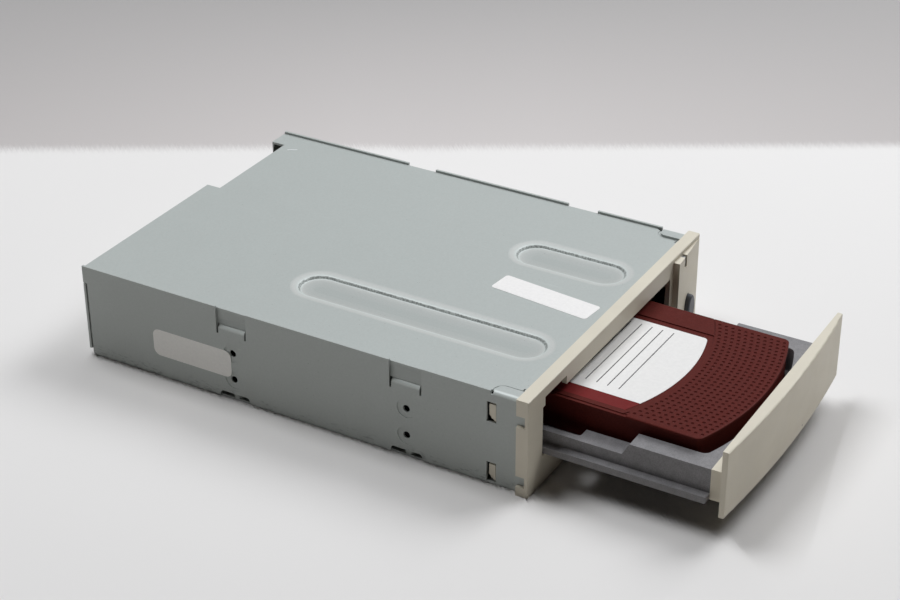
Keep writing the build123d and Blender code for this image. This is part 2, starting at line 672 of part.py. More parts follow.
# Tray: rails, stepped rims, a pocket shaped to the cartridge, hollow below
pocket_left = tray_centre - cart_width / 2 - pocket_margin
pocket_right = 2 * tray_centre - pocket_left
rack_pitch = pi * rack_module
rack_line = rail_right - rack_module
pinion_x = rack_line + rack_module * pinion_teeth / 2
pinion_y = behind(pinion_setback)
with BuildPart() as tray:
    with BuildSketch(beside(tray_left)):
        with BuildLine():
            Polyline(
                (behind(tray_front_end), tray_low),
                (behind(tray_rear_end), tray_low),
                (behind(tray_rear_end), low_deck),
                (behind(deck_step), low_deck),
                (behind(deck_step - deck_run), high_deck),
                (behind(tray_front_end), high_deck),
                close=True,
            )
        make_face()
    extrude(amount=tray_right - tray_left)
    # Middle of the front wall, between the blocks of the drawer front
    middle_span = (tray_left + block_length + 0.2, tray_right - block_length - 0.2)
    block(middle_span, (panel_rear, behind(tray_front_end)), (tray_low, high_deck))
    # Cartridge pocket, open to the rear, with an arc that follows the grip
    with BuildSketch(level(cart_low)) as pocket:
        with BuildLine():
            arc_centre = cart_front + grip_radius
            reach = grip_radius + pocket_front_gap
            half_pocket = (pocket_right - pocket_left) / 2
            ends = behind(arc_centre - sqrt(reach**2 - half_pocket**2))
            pocket_ends = ((pocket_left, ends), (pocket_right, ends))
            ThreePointArc(pocket_ends[0], (tray_centre, behind(arc_centre - reach)), pocket_ends[1])
            Polyline(pocket_ends[1], (pocket_right, rear_y), (pocket_left, rear_y), pocket_ends[0])
        make_face()
        fillet(pocket.vertices().group_by(Axis.Y)[0], 3.2)
    extrude(amount=case_height, mode=Mode.SUBTRACT)
    # The floor stops short of the cartridge's nose
    beyond = (behind(floor_rear_end), rear_y)
    block((pocket_left, pocket_right), beyond, (0, case_height), mode=Mode.SUBTRACT)
    # Openings beside the cartridge, through the floor
    with BuildSketch(level(tray_low)) as gaps:
        for side in (-1, 1):
            wall_face = tray_centre + side * ((tray_right - tray_left) / 2 - side_wall)
            pocket_face = tray_centre + side * ((pocket_right - pocket_left) / 2 - 2)
            with Locations(((wall_face + pocket_face) / 2, behind((side_window[0] + side_window[1]) / 2))):
                RectangleRounded(abs(wall_face - pocket_face), side_window[1] - side_window[0], 1.4)
    extrude(amount=case_height, mode=Mode.SUBTRACT)
    # Hollow underside: thin floor and thin rims
    floor_hollow = (tray_low, cart_low - tray_floor)
    hollow_y = (behind(tray_front_end + 3), behind(floor_rear_end - 2))
    block((pocket_left + 3.5, pocket_right - 3.5), hollow_y, floor_hollow, mode=Mode.SUBTRACT)
    for side in (-1, 1):
        outer = tray_centre + side * ((tray_right - tray_left) / 2 - tray_wall)
        inner_wall = tray_centre + side * ((pocket_right - pocket_left) / 2 + tray_wall)
        span = sorted((outer, inner_wall))
        low_run = (behind(deck_step + 1.0), behind(side_window[0] - tray_wall))
        high_run = (behind(tray_front_end + tray_wall), behind(deck_step - deck_run - 0.6))
        block(span, low_run, (tray_low, low_deck - tray_wall), mode=Mode.SUBTRACT)
        block(span, high_run, (tray_low, high_deck - tray_wall), mode=Mode.SUBTRACT)
    # Rails; the right one carries the rack
    rail_z = (tray_low, tray_low + rail_height)
    rail_y = (behind(tray_front_end), behind(tray_rear_end))
    with BuildSketch(beside(rail_left)) as rail_side:
        with Locations((rail_y[0], rail_z[0])):
            Rectangle(rail_y[1] - rail_y[0], rail_height, align=(Align.MIN, Align.MIN))
        fillet(rail_side.vertices().sort_by(lambda v: v.X + v.Y)[0], 0.9)
    extrude(amount=tray_left + 0.1 - rail_left)
    block((tray_right - 0.1, rail_right - 1.9 * rack_module - 0.2), rail_y, rail_z)
    rack_start = round((travel + 9) / rack_pitch)
    rack_end = round(9 / rack_pitch)
    with BuildSketch(level(rail_z[0])):
        root = rail_right - 2.2 * rack_module
        block_front = pinion_y - (rack_start + 0.5) * rack_pitch
        block_rear = pinion_y + (rack_end + 0.5) * rack_pitch
        with BuildLine():
            outline = [(root - 0.3, block_front), (root, block_front)]
            for tooth in range(-rack_start, rack_end + 1):
                middle = pinion_y + tooth * rack_pitch
                outline.append((root, middle - 0.36 * rack_pitch))
                outline.append((rail_right, middle - 0.11 * rack_pitch))
                outline.append((rail_right, middle + 0.11 * rack_pitch))
                outline.append((root, middle + 0.36 * rack_pitch))
            outline += [(root, block_rear), (root - 0.3, block_rear)]
            Polyline(*outline, close=True)
        make_face()
    extrude(amount=rail_height)
    for run in ((rail_y[0], block_front), (block_rear, rail_y[1])):
        block((root - 0.3, rail_right), run, rail_z)
save(tray, "tray")

# Drawer front: a curved panel with two end blocks that clip over the tray
front_centre = (front_left + front_right) / 2
with BuildPart() as tray_front:
    with BuildSketch(level(front_low)):
        with BuildLine():
            left_edge = (front_left, panel_rear - front_edge)
            right_edge = (front_right, panel_rear - front_edge)
            Polyline(left_edge, (front_left, panel_rear), (front_right, panel_rear), right_edge)
            ThreePointArc(right_edge, (front_centre, panel_rear - front_middle), left_edge)
        make_face()
    extrude(amount=front_high - front_low)
    outer_edges = tray_front.faces().sort_by(Axis.Y)[0].edges()
    fillet(outer_edges, 0.5)
    for x in ((tray_left, tray_left + block_length), (tray_right - block_length, tray_right)):
        block(x, (panel_rear - 0.5, behind(tray_front_end)), (tray_low + 0.1, high_deck + 0.1))
    pinhole = [(tray_centre + pinhole_offset, front_low + pinhole_rise)]
    lengthwise(pinhole, pinhole_radius, (panel_rear - 9, panel_rear + 1), mode=Mode.SUBTRACT)
save(tray_front, "tray_front")

# Tray guides: channels that hold the rails, on feet screwed to the floor
guide_y = (behind(14.0), behind(travel + tray_rear_end + 2))
guide_lip = 2.5
guide_wall = 1.8
guide_foot = 4.0
rail_gap = 0.25
rail_zs = (tray_low - rail_gap, tray_low + rail_height + rail_gap)
screw_ys = [guide_y[0] + 16, (guide_y[0] + guide_y[1]) / 2, guide_y[1] - 8]


def tray_guide(rail_edge, side):
    """One guide: side is -1 on the left and 1 on the right."""
    web = rail_edge + side * sliding
    with BuildPart() as guide:
        with BuildSketch(facing(guide_y[0])):
            with BuildLine():
                Polyline(
                    (web - side * guide_lip, rail_zs[0] - guide_wall),
                    (web - side * guide_lip, rail_zs[0]),
                    (web, rail_zs[0]),
                    (web, rail_zs[1]),
                    (web - side * guide_lip, rail_zs[1]),
                    (web - side * guide_lip, rail_zs[1] + guide_wall),
                    (web + side * guide_wall, rail_zs[1] + guide_wall),
                    (web + side * guide_wall, steel + guide_wall),
                    (web + side * (guide_wall + guide_foot), steel + guide_wall),
                    (web + side * (guide_wall + guide_foot), steel),
                    (web, steel),
                    (web, rail_zs[0] - guide_wall),
                    close=True,
                )
            make_face()
        extrude(amount=-(guide_y[1] - guide_y[0]))
        foot_x = web + side * (guide_wall + guide_foot / 2)
        upright([(foot_x, y) for y in screw_ys], 1.1, (0, 4), mode=Mode.SUBTRACT)
        upright([(side * bottom_hole_span / 2, y) for y in hole_ys], 2.6, (0, 5), mode=Mode.SUBTRACT)
        if side > 0:
            reach = rack_module * (pinion_teeth / 2 + 1) + 1.0
            window = (pinion_y - reach, pinion_y + reach)
            block((web - 4, web + 8), window, (rail_zs[0] - 0.6, case_height / 2), mode=Mode.SUBTRACT)
            gear_room = train_module * (drive_teeth / 2 + 1) + 1.0
            gear_window = (pinion_y - gear_room, pinion_y + gear_room)
            block((web - 6, web + 8), gear_window, (8.0, rail_zs[0]), mode=Mode.SUBTRACT)
    return guide


tray_guide_left = tray_guide(rail_left, -1)
save(tray_guide_left, "tray_guide_left")
tray_guide_right = tray_guide(rail_right, 1)
save(tray_guide_right, "tray_guide_right")

# Where the capstan stands: its puck meets the cartridge's drive roller when the drawer is shut
roller_local = (0.0, cart_length - roller_setback)
puck_local = (0.0, roller_local[1] + puck_section + puck_radius + puck_gap)
puck_x, puck_open_y = in_cart(*puck_local)
puck_y = puck_open_y + travel
plate_x = (tray_left + 9.0, tray_right - 2.0)
plate_y = (puck_y - rotor_radius - 1.1, puck_y - rotor_radius - 1.1 + plate_length)

# Main board on standoffs, with a cut-out for the loader at the front right
board_top = board_low + board_thickness
board_left = tray_left + 1.5
notch_end = guide_y[1] + 7.0
board_right = rail_right - 1.0
board_rear = rear_y - 3.0
standoffs = [(x, behind(setback)) for x in (board_left + 4.5, board_right - 6.5) for setback in (8, 76)]
standoffs += [(board_left + 4.5, board_rear - 6.3), (half_width - 9.0, board_rear - 6.3)]
post_ys = (plate_y[0] + 29.0, plate_y[1] - 8.0)
plate_posts = [(x, y) for x in (tray_left + 15.0, tray_right - 10.0) for y in post_ys]
with BuildPart() as main_board:
    with BuildSketch(level(board_low)):
        with BuildLine():
            Polyline(
                (board_left, behind(3)),
                (board_right, behind(3)),
                (board_right, notch_end),
                (half_width - 4.5, notch_end),
                (half_width - 4.5, board_rear),
                (board_left, board_rear),
                close=True,
            )
        make_face()
    extrude(amount=board_thickness)
    upright(standoffs, 1.3, (board_low - 1, board_top + 1), mode=Mode.SUBTRACT)
    upright(plate_posts, 2.8, (board_low - 1, board_top + 1), mode=Mode.SUBTRACT)
save(main_board, "main_board")

# Standoffs: short round ones for the board, tall hexagonal ones for the mechanism plate
with BuildPart() as standoff_set:
    upright(standoffs, 2.4, (steel, board_low))
    with BuildSketch(level(steel)):
        with Locations(*plate_posts):
            RegularPolygon(2.6, 6)
    extrude(amount=plate_low - steel)
    upright(standoffs, 1.0, (board_low - 2.4, board_low), mode=Mode.SUBTRACT)
    upright(plate_posts, 1.3, (plate_low - 3.5, plate_low + 1), mode=Mode.SUBTRACT)
save(standoff_set, "standoffs")

with BuildPart() as board_screws:
    upright(standoffs, 2.2, (board_top, board_top + 1.3))
    upright(standoffs, 0.95, (board_low - 2.0, board_top))
    for x, y in standoffs:
        block((x - 1.4, x + 1.4), (y - 0.3, y + 0.3), (board_top + 0.7, board_top + 2), mode=Mode.SUBTRACT)
save(board_screws, "board_screws")

# Chips: flat packages with leads along their sides
chip_plan = [
    (board_left + 27.5, 40.0, 20.0, 20.0),
    (board_left + 59.5, 30.0, 14.0, 20.0),
    (board_left + 81.5, 58.0, 12.0, 18.0),
    (board_left + 21.5, 74.0, 10.0, 16.0),
    (half_width - 19.0, 150.0, 16.0, 16.0),
]
with BuildPart() as board_chips:
    for x, setback, wide, long in chip_plan:
        y = behind(setback)
        block((x - wide / 2, x + wide / 2), (y - long / 2, y + long / 2), (board_top + 0.4, board_top + 2.4))
        leads = int(long / pin_pitch) - 1
        lead_ys = [y + (i - (leads - 1) / 2) * pin_pitch for i in range(leads)]
        lead_xs = (x - wide / 2 - 0.5, x + wide / 2 + 0.5)
        blocks([(lx, ly, board_top + 0.45) for lx in lead_xs for ly in lead_ys], (1.4, 0.8, 0.9))
save(board_chips, "board_chips")

# Data header, power socket and jumper block at the rear edge
header_y = (rear_y - 9.5, rear_y - 0.3)
header_z = (board_top, board_top + 8.8)
pin_rows = (board_top + 3.1, board_top + 3.1 + pin_pitch)
pin_xs = [header_x + (i - (header_pins - 1) / 2) * pin_pitch for i in range(header_pins)]
with BuildPart() as data_connector:
    block((header_x - header_half, header_x + header_half), header_y, header_z)
    mouth_half = header_half - 1.2
    mouth_x = (header_x - mouth_half, header_x + mouth_half)
    mouth_y = (header_y[0] + 2.4, rear_y + 1)
    block(mouth_x, mouth_y, (header_z[0] + 1.2, header_z[1] - 1.2), mode=Mode.SUBTRACT)
    block((header_x - 2.2, header_x + 2.2), mouth_y, (header_z[1] - 1.4, header_z[1] + 1), mode=Mode.SUBTRACT)
    blocks([(x, header_y[0] + 1, z) for x in pin_xs for z in pin_rows], (0.64, 4, 0.64), mode=Mode.SUBTRACT)
save(data_connector, "data_connector")

jumper_x = (header_x + 37.5, header_x + 47.7)
jumper_rows = (board_top + 1.9, board_top + 1.9 + pin_pitch)
jumper_pins = [(jumper_x[0] + 1.27 + i * pin_pitch, z) for i in range(4) for z in jumper_rows]
with BuildPart() as connector_pins:
    header_middle = (header_y[0] + rear_y - 2.6) / 2
    header_reach = rear_y - 2.6 - header_y[0]
    blocks([(x, header_middle, z) for x in pin_xs for z in pin_rows], (0.64, header_reach, 0.64))
    blocks([(x, header_y[0] + 5.0, z) for x, z in jumper_pins], (0.64, 5.0, 0.64))
save(connector_pins, "connector_pins")

with BuildPart() as jumper_block:
    block(jumper_x, (header_y[0], header_y[0] + 2.5), (board_top, board_top + 6.3))
    cap_x = (jumper_x[0] + pin_pitch + 0.05, jumper_x[0] + 2 * pin_pitch - 0.05)
    block(cap_x, (header_y[0] + 2.5, rear_y - 1.6), (board_top + 0.7, board_top + 5.6))
    blocks([(x, header_y[0] + 5.0, z) for x, z in jumper_pins], (0.64, 5.0, 0.64), mode=Mode.SUBTRACT)
save(jumper_block, "jumper_block")

power_pins = [power_x[0] + 2.9 + 5.08 * i for i in range(4)]
power_z = board_top + 5.4
with BuildPart() as power_connector:
    with BuildSketch(facing(rear_y - 0.3)) as shroud:
        with Locations((sum(power_x) / 2, power_z)):
            Rectangle(power_x[1] - power_x[0], 10.4)
        chamfer(shroud.vertices().group_by(Axis.Y)[-1], 2.2)
    extrude(amount=11.0)
    # Cavity with four sockets, open to the rear
    with BuildSketch(facing(rear_y - 0.3)) as cavity:
        with Locations((sum(power_x) / 2, power_z)):
            Rectangle(power_x[1] - power_x[0] - 2.4, 8.0)
        chamfer(cavity.vertices().group_by(Axis.Y)[-1], 1.6)
    extrude(amount=9.0, mode=Mode.SUBTRACT)
    lengthwise([(x, power_z) for x in power_pins], 1.1, (rear_y - 12, rear_y - 8), mode=Mode.SUBTRACT)
save(power_connector, "power_connector")

with BuildPart() as power_contacts:
    lengthwise([(x, power_z) for x in power_pins], 1.05, (rear_y - 11.3, rear_y - 2.5))
save(power_contacts, "power_contacts")

# Mechanism plate on four posts, with the capstan motor and the head assembly
puck_z = (tape_low + tape_width + 0.2, top_plate_low - 0.1)
plate_top = plate_low + plate_thickness
# The head stands in the cartridge's window when the drawer is shut, just short of the tape
tape_line = cart_length - lip_overhang - shell_wall - 0.6 + tape_thickness
head_local = ((door_left + door_right) / 2 + head_offset, tape_line + sliding)
head_x = in_cart(*head_local)[0]
head_face = in_cart(*head_local)[1] + travel
screw_y = head_face + head_reach
rod_x = head_x + 9.5
rod_y = screw_y + 6.0
with BuildPart() as mechanism_plate:
    with BuildSketch(level(plate_low)):
        with Locations(((plate_x[0] + plate_x[1]) / 2, (plate_y[0] + plate_y[1]) / 2)):
            RectangleRounded(plate_x[1] - plate_x[0], plate_y[1] - plate_y[0], 4.0)
        with Locations((tray_centre + 3.5, plate_y[1] - 26.0)):
            RectangleRounded(44.0, 26.0, 4.0, mode=Mode.SUBTRACT)
    extrude(amount=plate_thickness)
    # Stiffening flange along the rear edge
    flange_y = (plate_y[1] - plate_thickness, plate_y[1])
    block((plate_x[0] + 6, plate_x[1] - 6), flange_y, (plate_low, plate_low + 9.0))
    upright(plate_posts, 1.6, (plate_low - 1, plate_top + 1), mode=Mode.SUBTRACT)
save(mechanism_plate, "mechanism_plate")

with BuildPart() as plate_screws:
    upright(plate_posts, 2.7, (plate_top, plate_top + 1.6))
    upright(plate_posts, 1.25, (plate_low - 3.0, plate_top))
    blocks([(x, y, plate_top + 1.4) for x, y in plate_posts], (3.4, 0.6, 1.0), mode=Mode.SUBTRACT)
save(plate_screws, "plate_screws")

shaft_radius = 1.5
base_top = plate_top + 1.4
rotor_z = (base_top + 0.4, base_top + 3.6)
with BuildPart() as capstan_base:
    upright([(puck_x, puck_y)], rotor_radius - 2.0, (plate_top, base_top))
    upright([(puck_x, puck_y)], 4.0, (base_top - 0.2, base_top + 0.2))
    upright([(puck_x, puck_y)], shaft_radius + running, (plate_top - 1, case_height), mode=Mode.SUBTRACT)
save(capstan_base, "capstan_base")

with BuildPart() as capstan_rotor:
    upright([(puck_x, puck_y)], rotor_radius, rotor_z)
    upright([(puck_x, puck_y)], rotor_radius - 2.0, (rotor_z[1] - 1.2, rotor_z[1] + 1), mode=Mode.SUBTRACT)
    with BuildSketch(level(rotor_z[1] - 1.2)):
        with Locations((puck_x, puck_y)):
            with PolarLocations(9.0, 6):
                Circle(2.4)
    extrude(amount=-3.0, mode=Mode.SUBTRACT)
    upright([(puck_x, puck_y)], 3.0, (rotor_z[0], puck_z[1] + 0.3))
    upright([(puck_x, puck_y)], shaft_radius, (plate_top + 0.2, puck_z[1] + 1.5))
save(capstan_rotor, "capstan_rotor")

with BuildPart() as drive_puck:
    upright([(puck_x, puck_y)], puck_radius, puck_z)
    upright([(puck_x, puck_y)], 3.0, (0, case_height), mode=Mode.SUBTRACT)
save(drive_puck, "drive_puck")

# Head: stepper motor, lead screw, carriage on a guide rod, top bridge
stepper_top = plate_top + stepper_height
bridge_z = (cover_under - groove_depth - 2.0, cover_under - groove_depth - 0.8)
carriage_z = (stepper_top + 0.8 + head_lift + 1.0, top_plate_low - 0.2)
with BuildPart() as head_stepper:
    upright([(head_x, screw_y)], stepper_radius, (plate_top, stepper_top))
    chamfer(head_stepper.edges().filter_by(GeomType.CIRCLE), 0.5)
    upright([(head_x, screw_y)], 3.0, (stepper_top - 0.1, stepper_top + 0.8))
    bore = lead_screw_radius + running
    upright([(head_x, screw_y)], bore, (stepper_top - 4, case_height), mode=Mode.SUBTRACT)
save(head_stepper, "head_stepper")

with BuildPart() as lead_screw:
    upright([(head_x, screw_y)], lead_screw_radius, (stepper_top - 3.8, bridge_z[0] + 0.9))
save(lead_screw, "lead_screw")

with BuildPart() as guide_rod:
    upright([(rod_x, rod_y)], guide_rod_radius, (plate_top, bridge_z[0]))
save(guide_rod, "guide_rod")

with BuildPart() as head_bridge:
    leg_y = (screw_y + stepper_radius + 1.5, screw_y + stepper_radius + 2.7)
    with BuildSketch(level(bridge_z[0])):
        with BuildLine():
            Polyline(
                (head_x - 4, screw_y - 4),
                (head_x + 4, screw_y - 4),
                (rod_x + 3, rod_y - 3),
                (rod_x + 3, leg_y[1]),
                (head_x - 4, leg_y[1]),
                close=True,
            )
        make_face()
    extrude(amount=bridge_z[1] - bridge_z[0])
    block((head_x - 4, rod_x + 3), leg_y, (plate_top, bridge_z[0] + 0.1))
    upright([(head_x, screw_y)], bore, (bridge_z[0] - 1, bridge_z[0] + 1.0), mode=Mode.SUBTRACT)
save(head_bridge, "head_bridge")

with BuildPart() as head_carriage:
    bar_x = (head_x - head_width / 2 + 0.5, head_x + head_width / 2 - 0.5)
    block(bar_x, (head_face + 3.6, screw_y + 3.5), carriage_z)
    block(bar_x, (head_face + 3.6, head_face + 6.0), (tape_low, carriage_z[1]))
    block((head_x, rod_x + 2.6), (rod_y - 2.6, rod_y + 2.6), carriage_z)
    block((head_x - 3, head_x + 3), (screw_y - 3, rod_y), carriage_z)
    upright([(head_x, screw_y)], bore, (0, case_height), mode=Mode.SUBTRACT)
    upright([(rod_x, rod_y)], guide_rod_radius + running, (0, case_height), mode=Mode.SUBTRACT)
save(head_carriage, "head_carriage")

with BuildPart() as tape_head:
    with BuildSketch(level(tape_low)):
        with BuildLine():
            cheek = head_face + 1.0
            cheek_x = (head_x - head_width / 2, head_x + head_width / 2)
            back = head_face + 3.6
            Polyline((cheek_x[1], cheek), (cheek_x[1], back), (cheek_x[0], back), (cheek_x[0], cheek))
            ThreePointArc((cheek_x[0], cheek), (head_x, head_face), (cheek_x[1], cheek))
        make_face()
    extrude(amount=tape_width)
save(tape_head, "tape_head")

# Loader: bracket with its axle pegs, motor, pulleys, belt and gears
bracket_low = 6.0
bracket_top = bracket_low + 1.6
gear_z = (tray_low - 4.3, tray_low - 1.3)
pinion_z = (gear_z[1] - 0.1, tray_low + rail_height + 0.4)
pulley_z = (17.4, 20.6)
train_span = train_module * (drive_teeth + belt_gear_teeth) / 2
belt_gear_x = pinion_x + train_span * cos(radians(train_angle))
belt_gear_y = pinion_y + train_span * sin(radians(train_angle))
motor_x = panel_left + motor_inset
motor_y = pinion_y + motor_reach
bracket_x = (panel_left - 0.6, panel_left + 20.4)
bracket_y = (pinion_y - 10.0, motor_y + 12.0)
bracket_feet = [
    (pinion_x + 6.9, pinion_y - 7.0),
    (motor_x + 6.9, motor_y - 16.0),
    (pinion_x + 3.4, motor_y - 12.0),
    (motor_x + 6.9, pinion_y - 7.5),
]
with BuildPart() as loader_bracket:
    block(bracket_x, bracket_y, (bracket_low, bracket_top))
    upright(bracket_feet, 2.6, (steel, bracket_low + 0.1))
    upright(bracket_feet, 1.0, (steel + 1.5, bracket_top + 1), mode=Mode.SUBTRACT)
    upright([(pinion_x, pinion_y)], axle_radius, (bracket_low, pinion_z[1] + 1.0))
    upright([(pinion_x, pinion_y)], 2.6, (bracket_low, gear_z[0] - 0.1))
    upright([(belt_gear_x, belt_gear_y)], axle_radius, (bracket_low, pulley_z[1] + 1.0))
    upright([(belt_gear_x, belt_gear_y)], 2.6, (bracket_low, gear_z[0] - 0.1))
save(loader_bracket, "loader_bracket")

# Slotted screws of the two tray guides and the loader bracket
foot_shift = sliding + guide_wall + guide_foot / 2
guide_feet = [(x, y) for x in (rail_left - foot_shift, rail_right + foot_shift) for y in screw_ys]
with BuildPart() as floor_screws:
    screw_rows = ((guide_feet, steel + guide_wall, steel), (bracket_feet, bracket_top, steel + 1.8))
    for feet, seat, low in screw_rows:
        upright(feet, 1.8, (seat, seat + 1.2))
        upright(feet, 0.95, (low, seat + 0.1))
        blocks([(x, y, seat + 1.1) for x, y in feet], (2.4, 0.5, 0.8), mode=Mode.SUBTRACT)
save(floor_screws, "floor_screws")

with BuildPart() as drive_gear:
    with BuildSketch(level(gear_z[0])):
        with Locations((pinion_x, pinion_y)):
            mesh_shift = train_angle / 360 * drive_teeth % 1
            Polygon(*gear_outline(train_module, drive_teeth, mesh_shift), align=None)
    extrude(amount=gear_z[1] - gear_z[0])
    upright([(pinion_x, pinion_y)], 8.6, (gear_z[1] - 1.0, gear_z[1] + 1), mode=Mode.SUBTRACT)
    with BuildSketch(level(gear_z[0])):
        with Locations((pinion_x, pinion_y)):
            Polygon(*gear_outline(rack_module, pinion_teeth, 0.5), align=None)
    extrude(amount=pinion_z[1] - gear_z[0])
    upright([(pinion_x, pinion_y)], axle_radius + running, (0, case_height), mode=Mode.SUBTRACT)
save(drive_gear, "drive_gear")

with BuildPart() as belt_gear:
    with BuildSketch(level(gear_z[0])):
        with Locations((belt_gear_x, belt_gear_y)):
            gap_shift = (train_angle + 180) / 360 * belt_gear_teeth - 0.5
            Polygon(*gear_outline(train_module, belt_gear_teeth, gap_shift), align=None)
    extrude(amount=gear_z[1] - gear_z[0] + 0.4)
    upright([(belt_gear_x, belt_gear_y)], 3.0, (gear_z[1], pulley_z[0] + 0.1))
    upright([(belt_gear_x, belt_gear_y)], pulley_radius + 1.4, (pulley_z[0], pulley_z[0] + 0.8))
    upright([(belt_gear_x, belt_gear_y)], pulley_radius, (pulley_z[0], pulley_z[1]))
    upright([(belt_gear_x, belt_gear_y)], pulley_radius + 1.4, (pulley_z[1] - 0.8, pulley_z[1]))
    upright([(belt_gear_x, belt_gear_y)], axle_radius + running, (0, case_height), mode=Mode.SUBTRACT)
save(belt_gear, "belt_gear")

with BuildPart() as loading_motor:
    upright([(motor_x, motor_y)], motor_radius, (bracket_top, pulley_z[0] - 0.9))
    chamfer(loading_motor.edges().filter_by(GeomType.CIRCLE), 0.6)
    upright([(motor_x, motor_y)], 3.0, (pulley_z[0] - 1.0, pulley_z[0] - 0.3))
    upright([(motor_x, motor_y)], 0.75 + running, (bracket_top + 2, case_height), mode=Mode.SUBTRACT)
save(loading_motor, "loading_motor")

with BuildPart() as motor_pulley:
    upright([(motor_x, motor_y)], 0.75, (bracket_top + 2.3, pulley_z[1]))
    upright([(motor_x, motor_y)], motor_pulley_radius, pulley_z)
    for low in (pulley_z[0], pulley_z[1] - 0.8):
        upright([(motor_x, motor_y)], motor_pulley_radius + 1.4, (low, low + 0.8))
save(motor_pulley, "motor_pulley")

loader_wheels = [
    (belt_gear_x, belt_gear_y, pulley_radius, 1),
    (motor_x, motor_y, motor_pulley_radius, 1),
]
with BuildPart() as loading_belt:
    with BuildSketch(level((pulley_z[0] + pulley_z[1]) / 2 - 0.6)):
        with BuildLine():
            belt_loop(loader_wheels, running + loader_belt)
        make_face()
        with BuildLine():
            belt_loop(loader_wheels, running)
        make_face(mode=Mode.SUBTRACT)
    extrude(amount=1.2)
save(loading_belt, "loading_belt")

with BuildPart() as axle_washers:
    washer_places = (((pinion_x, pinion_y), pinion_z[1]), ((belt_gear_x, belt_gear_y), pulley_z[1]))
    for place, top in washer_places:
        z = top + 0.1
        upright([place], 3.0, (z, z + 0.6))
        upright([place], axle_radius, (z - 1, z + 2), mode=Mode.SUBTRACT)
save(axle_washers, "axle_washers")


# Cartridge
def cart_shape(z, inset):
    """The cartridge's outline, drawn in by an inset: straight sides, curved grip, square nose."""
    half = cart_width / 2 - inset
    radius = grip_radius - inset
    ends = grip_radius - sqrt(radius**2 - half**2)
    nose = cart_length - inset
    with BuildSketch(cart_plane(z)) as shape:
        with BuildLine():
            ThreePointArc((-half, ends), (0, inset), (half, ends))
            Polyline((half, ends), (half, nose), (-half, nose), (-half, ends))
        make_face()
        fillet(shape.vertices().group_by(Axis.Y)[0], cart_corner - inset / 2)
        fillet(shape.vertices().group_by(Axis.Y)[-1], 1.6)
    return shape.sketch


def cart_block(x, y, z, mode=Mode.ADD):
    """A rectangular body in the cartridge's own frame."""
    with BuildSketch(cart_plane(z[0])) as base:
        with Locations(((x[0] + x[1]) / 2, (y[0] + y[1]) / 2)):
            Rectangle(x[1] - x[0], y[1] - y[0])
    extrude(base.sketch, amount=z[1] - z[0], mode=mode)


def label_shape(z, x, radius, end, corner):
    """A label whose front edge runs concentric with the grip."""
    ends = [grip_radius - sqrt(radius**2 - side**2) for side in x]
    top = grip_radius - radius if x[0] * x[1] < 0 else None
    middle_x = (x[0] + x[1]) / 2 if top is None else 0
    middle = (middle_x, grip_radius - sqrt(radius**2 - middle_x**2))
    with BuildSketch(cart_plane(z)) as shape:
        with BuildLine():
            ThreePointArc((x[0], ends[0]), middle, (x[1], ends[1]))
            Polyline((x[1], ends[1]), (x[1], end), (x[0], end), (x[0], ends[0]))
        make_face()
        fillet(shape.vertices().group_by(Axis.Y)[0], corner)
    return shape.sketch


cart_inside = lip_overhang + shell_wall
nose_wall = (cart_length - cart_inside, cart_length - lip_overhang)
floor_top = cart_low + 1.4
puck_mouth = (-8.5, 8.5)
door_window = (door_left - 1.6, door_right + 0.2)
door_z = (floor_top + 0.4, top_plate_low - 1.6)
slot_x = (18.0, 30.0)
slot_z = (floor_top + 0.8, floor_top + 3.8)
cart_screws = [(-22.0, 7.0), (22.0, 7.0), (0.0, 36.0), (16.0, 79.0)]
with BuildPart() as cartridge_top_shell:
    extrude(cart_shape(cart_top - lip_height, 0), amount=lip_height)
    fillet(cartridge_top_shell.faces().sort_by(Axis.Z)[-1].edges(), 0.4)
    extrude(cart_shape(shell_split, lip_overhang), amount=cart_top - lip_height - shell_split)
    extrude(cart_shape(shell_split, cart_inside), amount=top_plate_low - shell_split, mode=Mode.SUBTRACT)
    # Shallow recess for the label between the raised bands
    recess = label_shape(cart_top - recess_depth, (near_band, far_band), seam_radius, recess_end, 0.6)
    extrude(recess, amount=1.0, mode=Mode.SUBTRACT)
    # A low step along the outer edge of the near band
    step_y = (grip_radius - sqrt(seam_radius**2 - near_band**2), cart_length - 1.5)
    step_x = (-cart_width / 2, -cart_width / 2 + 1.4)
    cart_block(step_x, step_y, (cart_top - 0.3, cart_top + 1), mode=Mode.SUBTRACT)
    # Fine seam between the grip and the two bands
    for x in ((-cart_width / 2, near_band - 0.4), (far_band + 0.4, cart_width / 2)):
        with BuildSketch(cart_plane(cart_top - 0.35)) as seam:
            with Locations((0, grip_radius)):
                Circle(seam_radius + 0.2)
                Circle(seam_radius - 0.25, mode=Mode.SUBTRACT)
            with Locations(((x[0] + x[1]) / 2, 40.0)):
                Rectangle(x[1] - x[0], 40.0, mode=Mode.INTERSECT)
        extrude(seam.sketch, amount=1.0, mode=Mode.SUBTRACT)
    through_nose = (nose_wall[0] - 1, cart_length - lip_overhang + 0.05)
    cart_block(puck_mouth, through_nose, (puck_z[0] - 0.5, top_plate_low), mode=Mode.SUBTRACT)
    cart_block(door_window, through_nose, (shell_split - 1, door_z[1] + 0.3), mode=Mode.SUBTRACT)
save(cartridge_top_shell, "cartridge_top_shell")

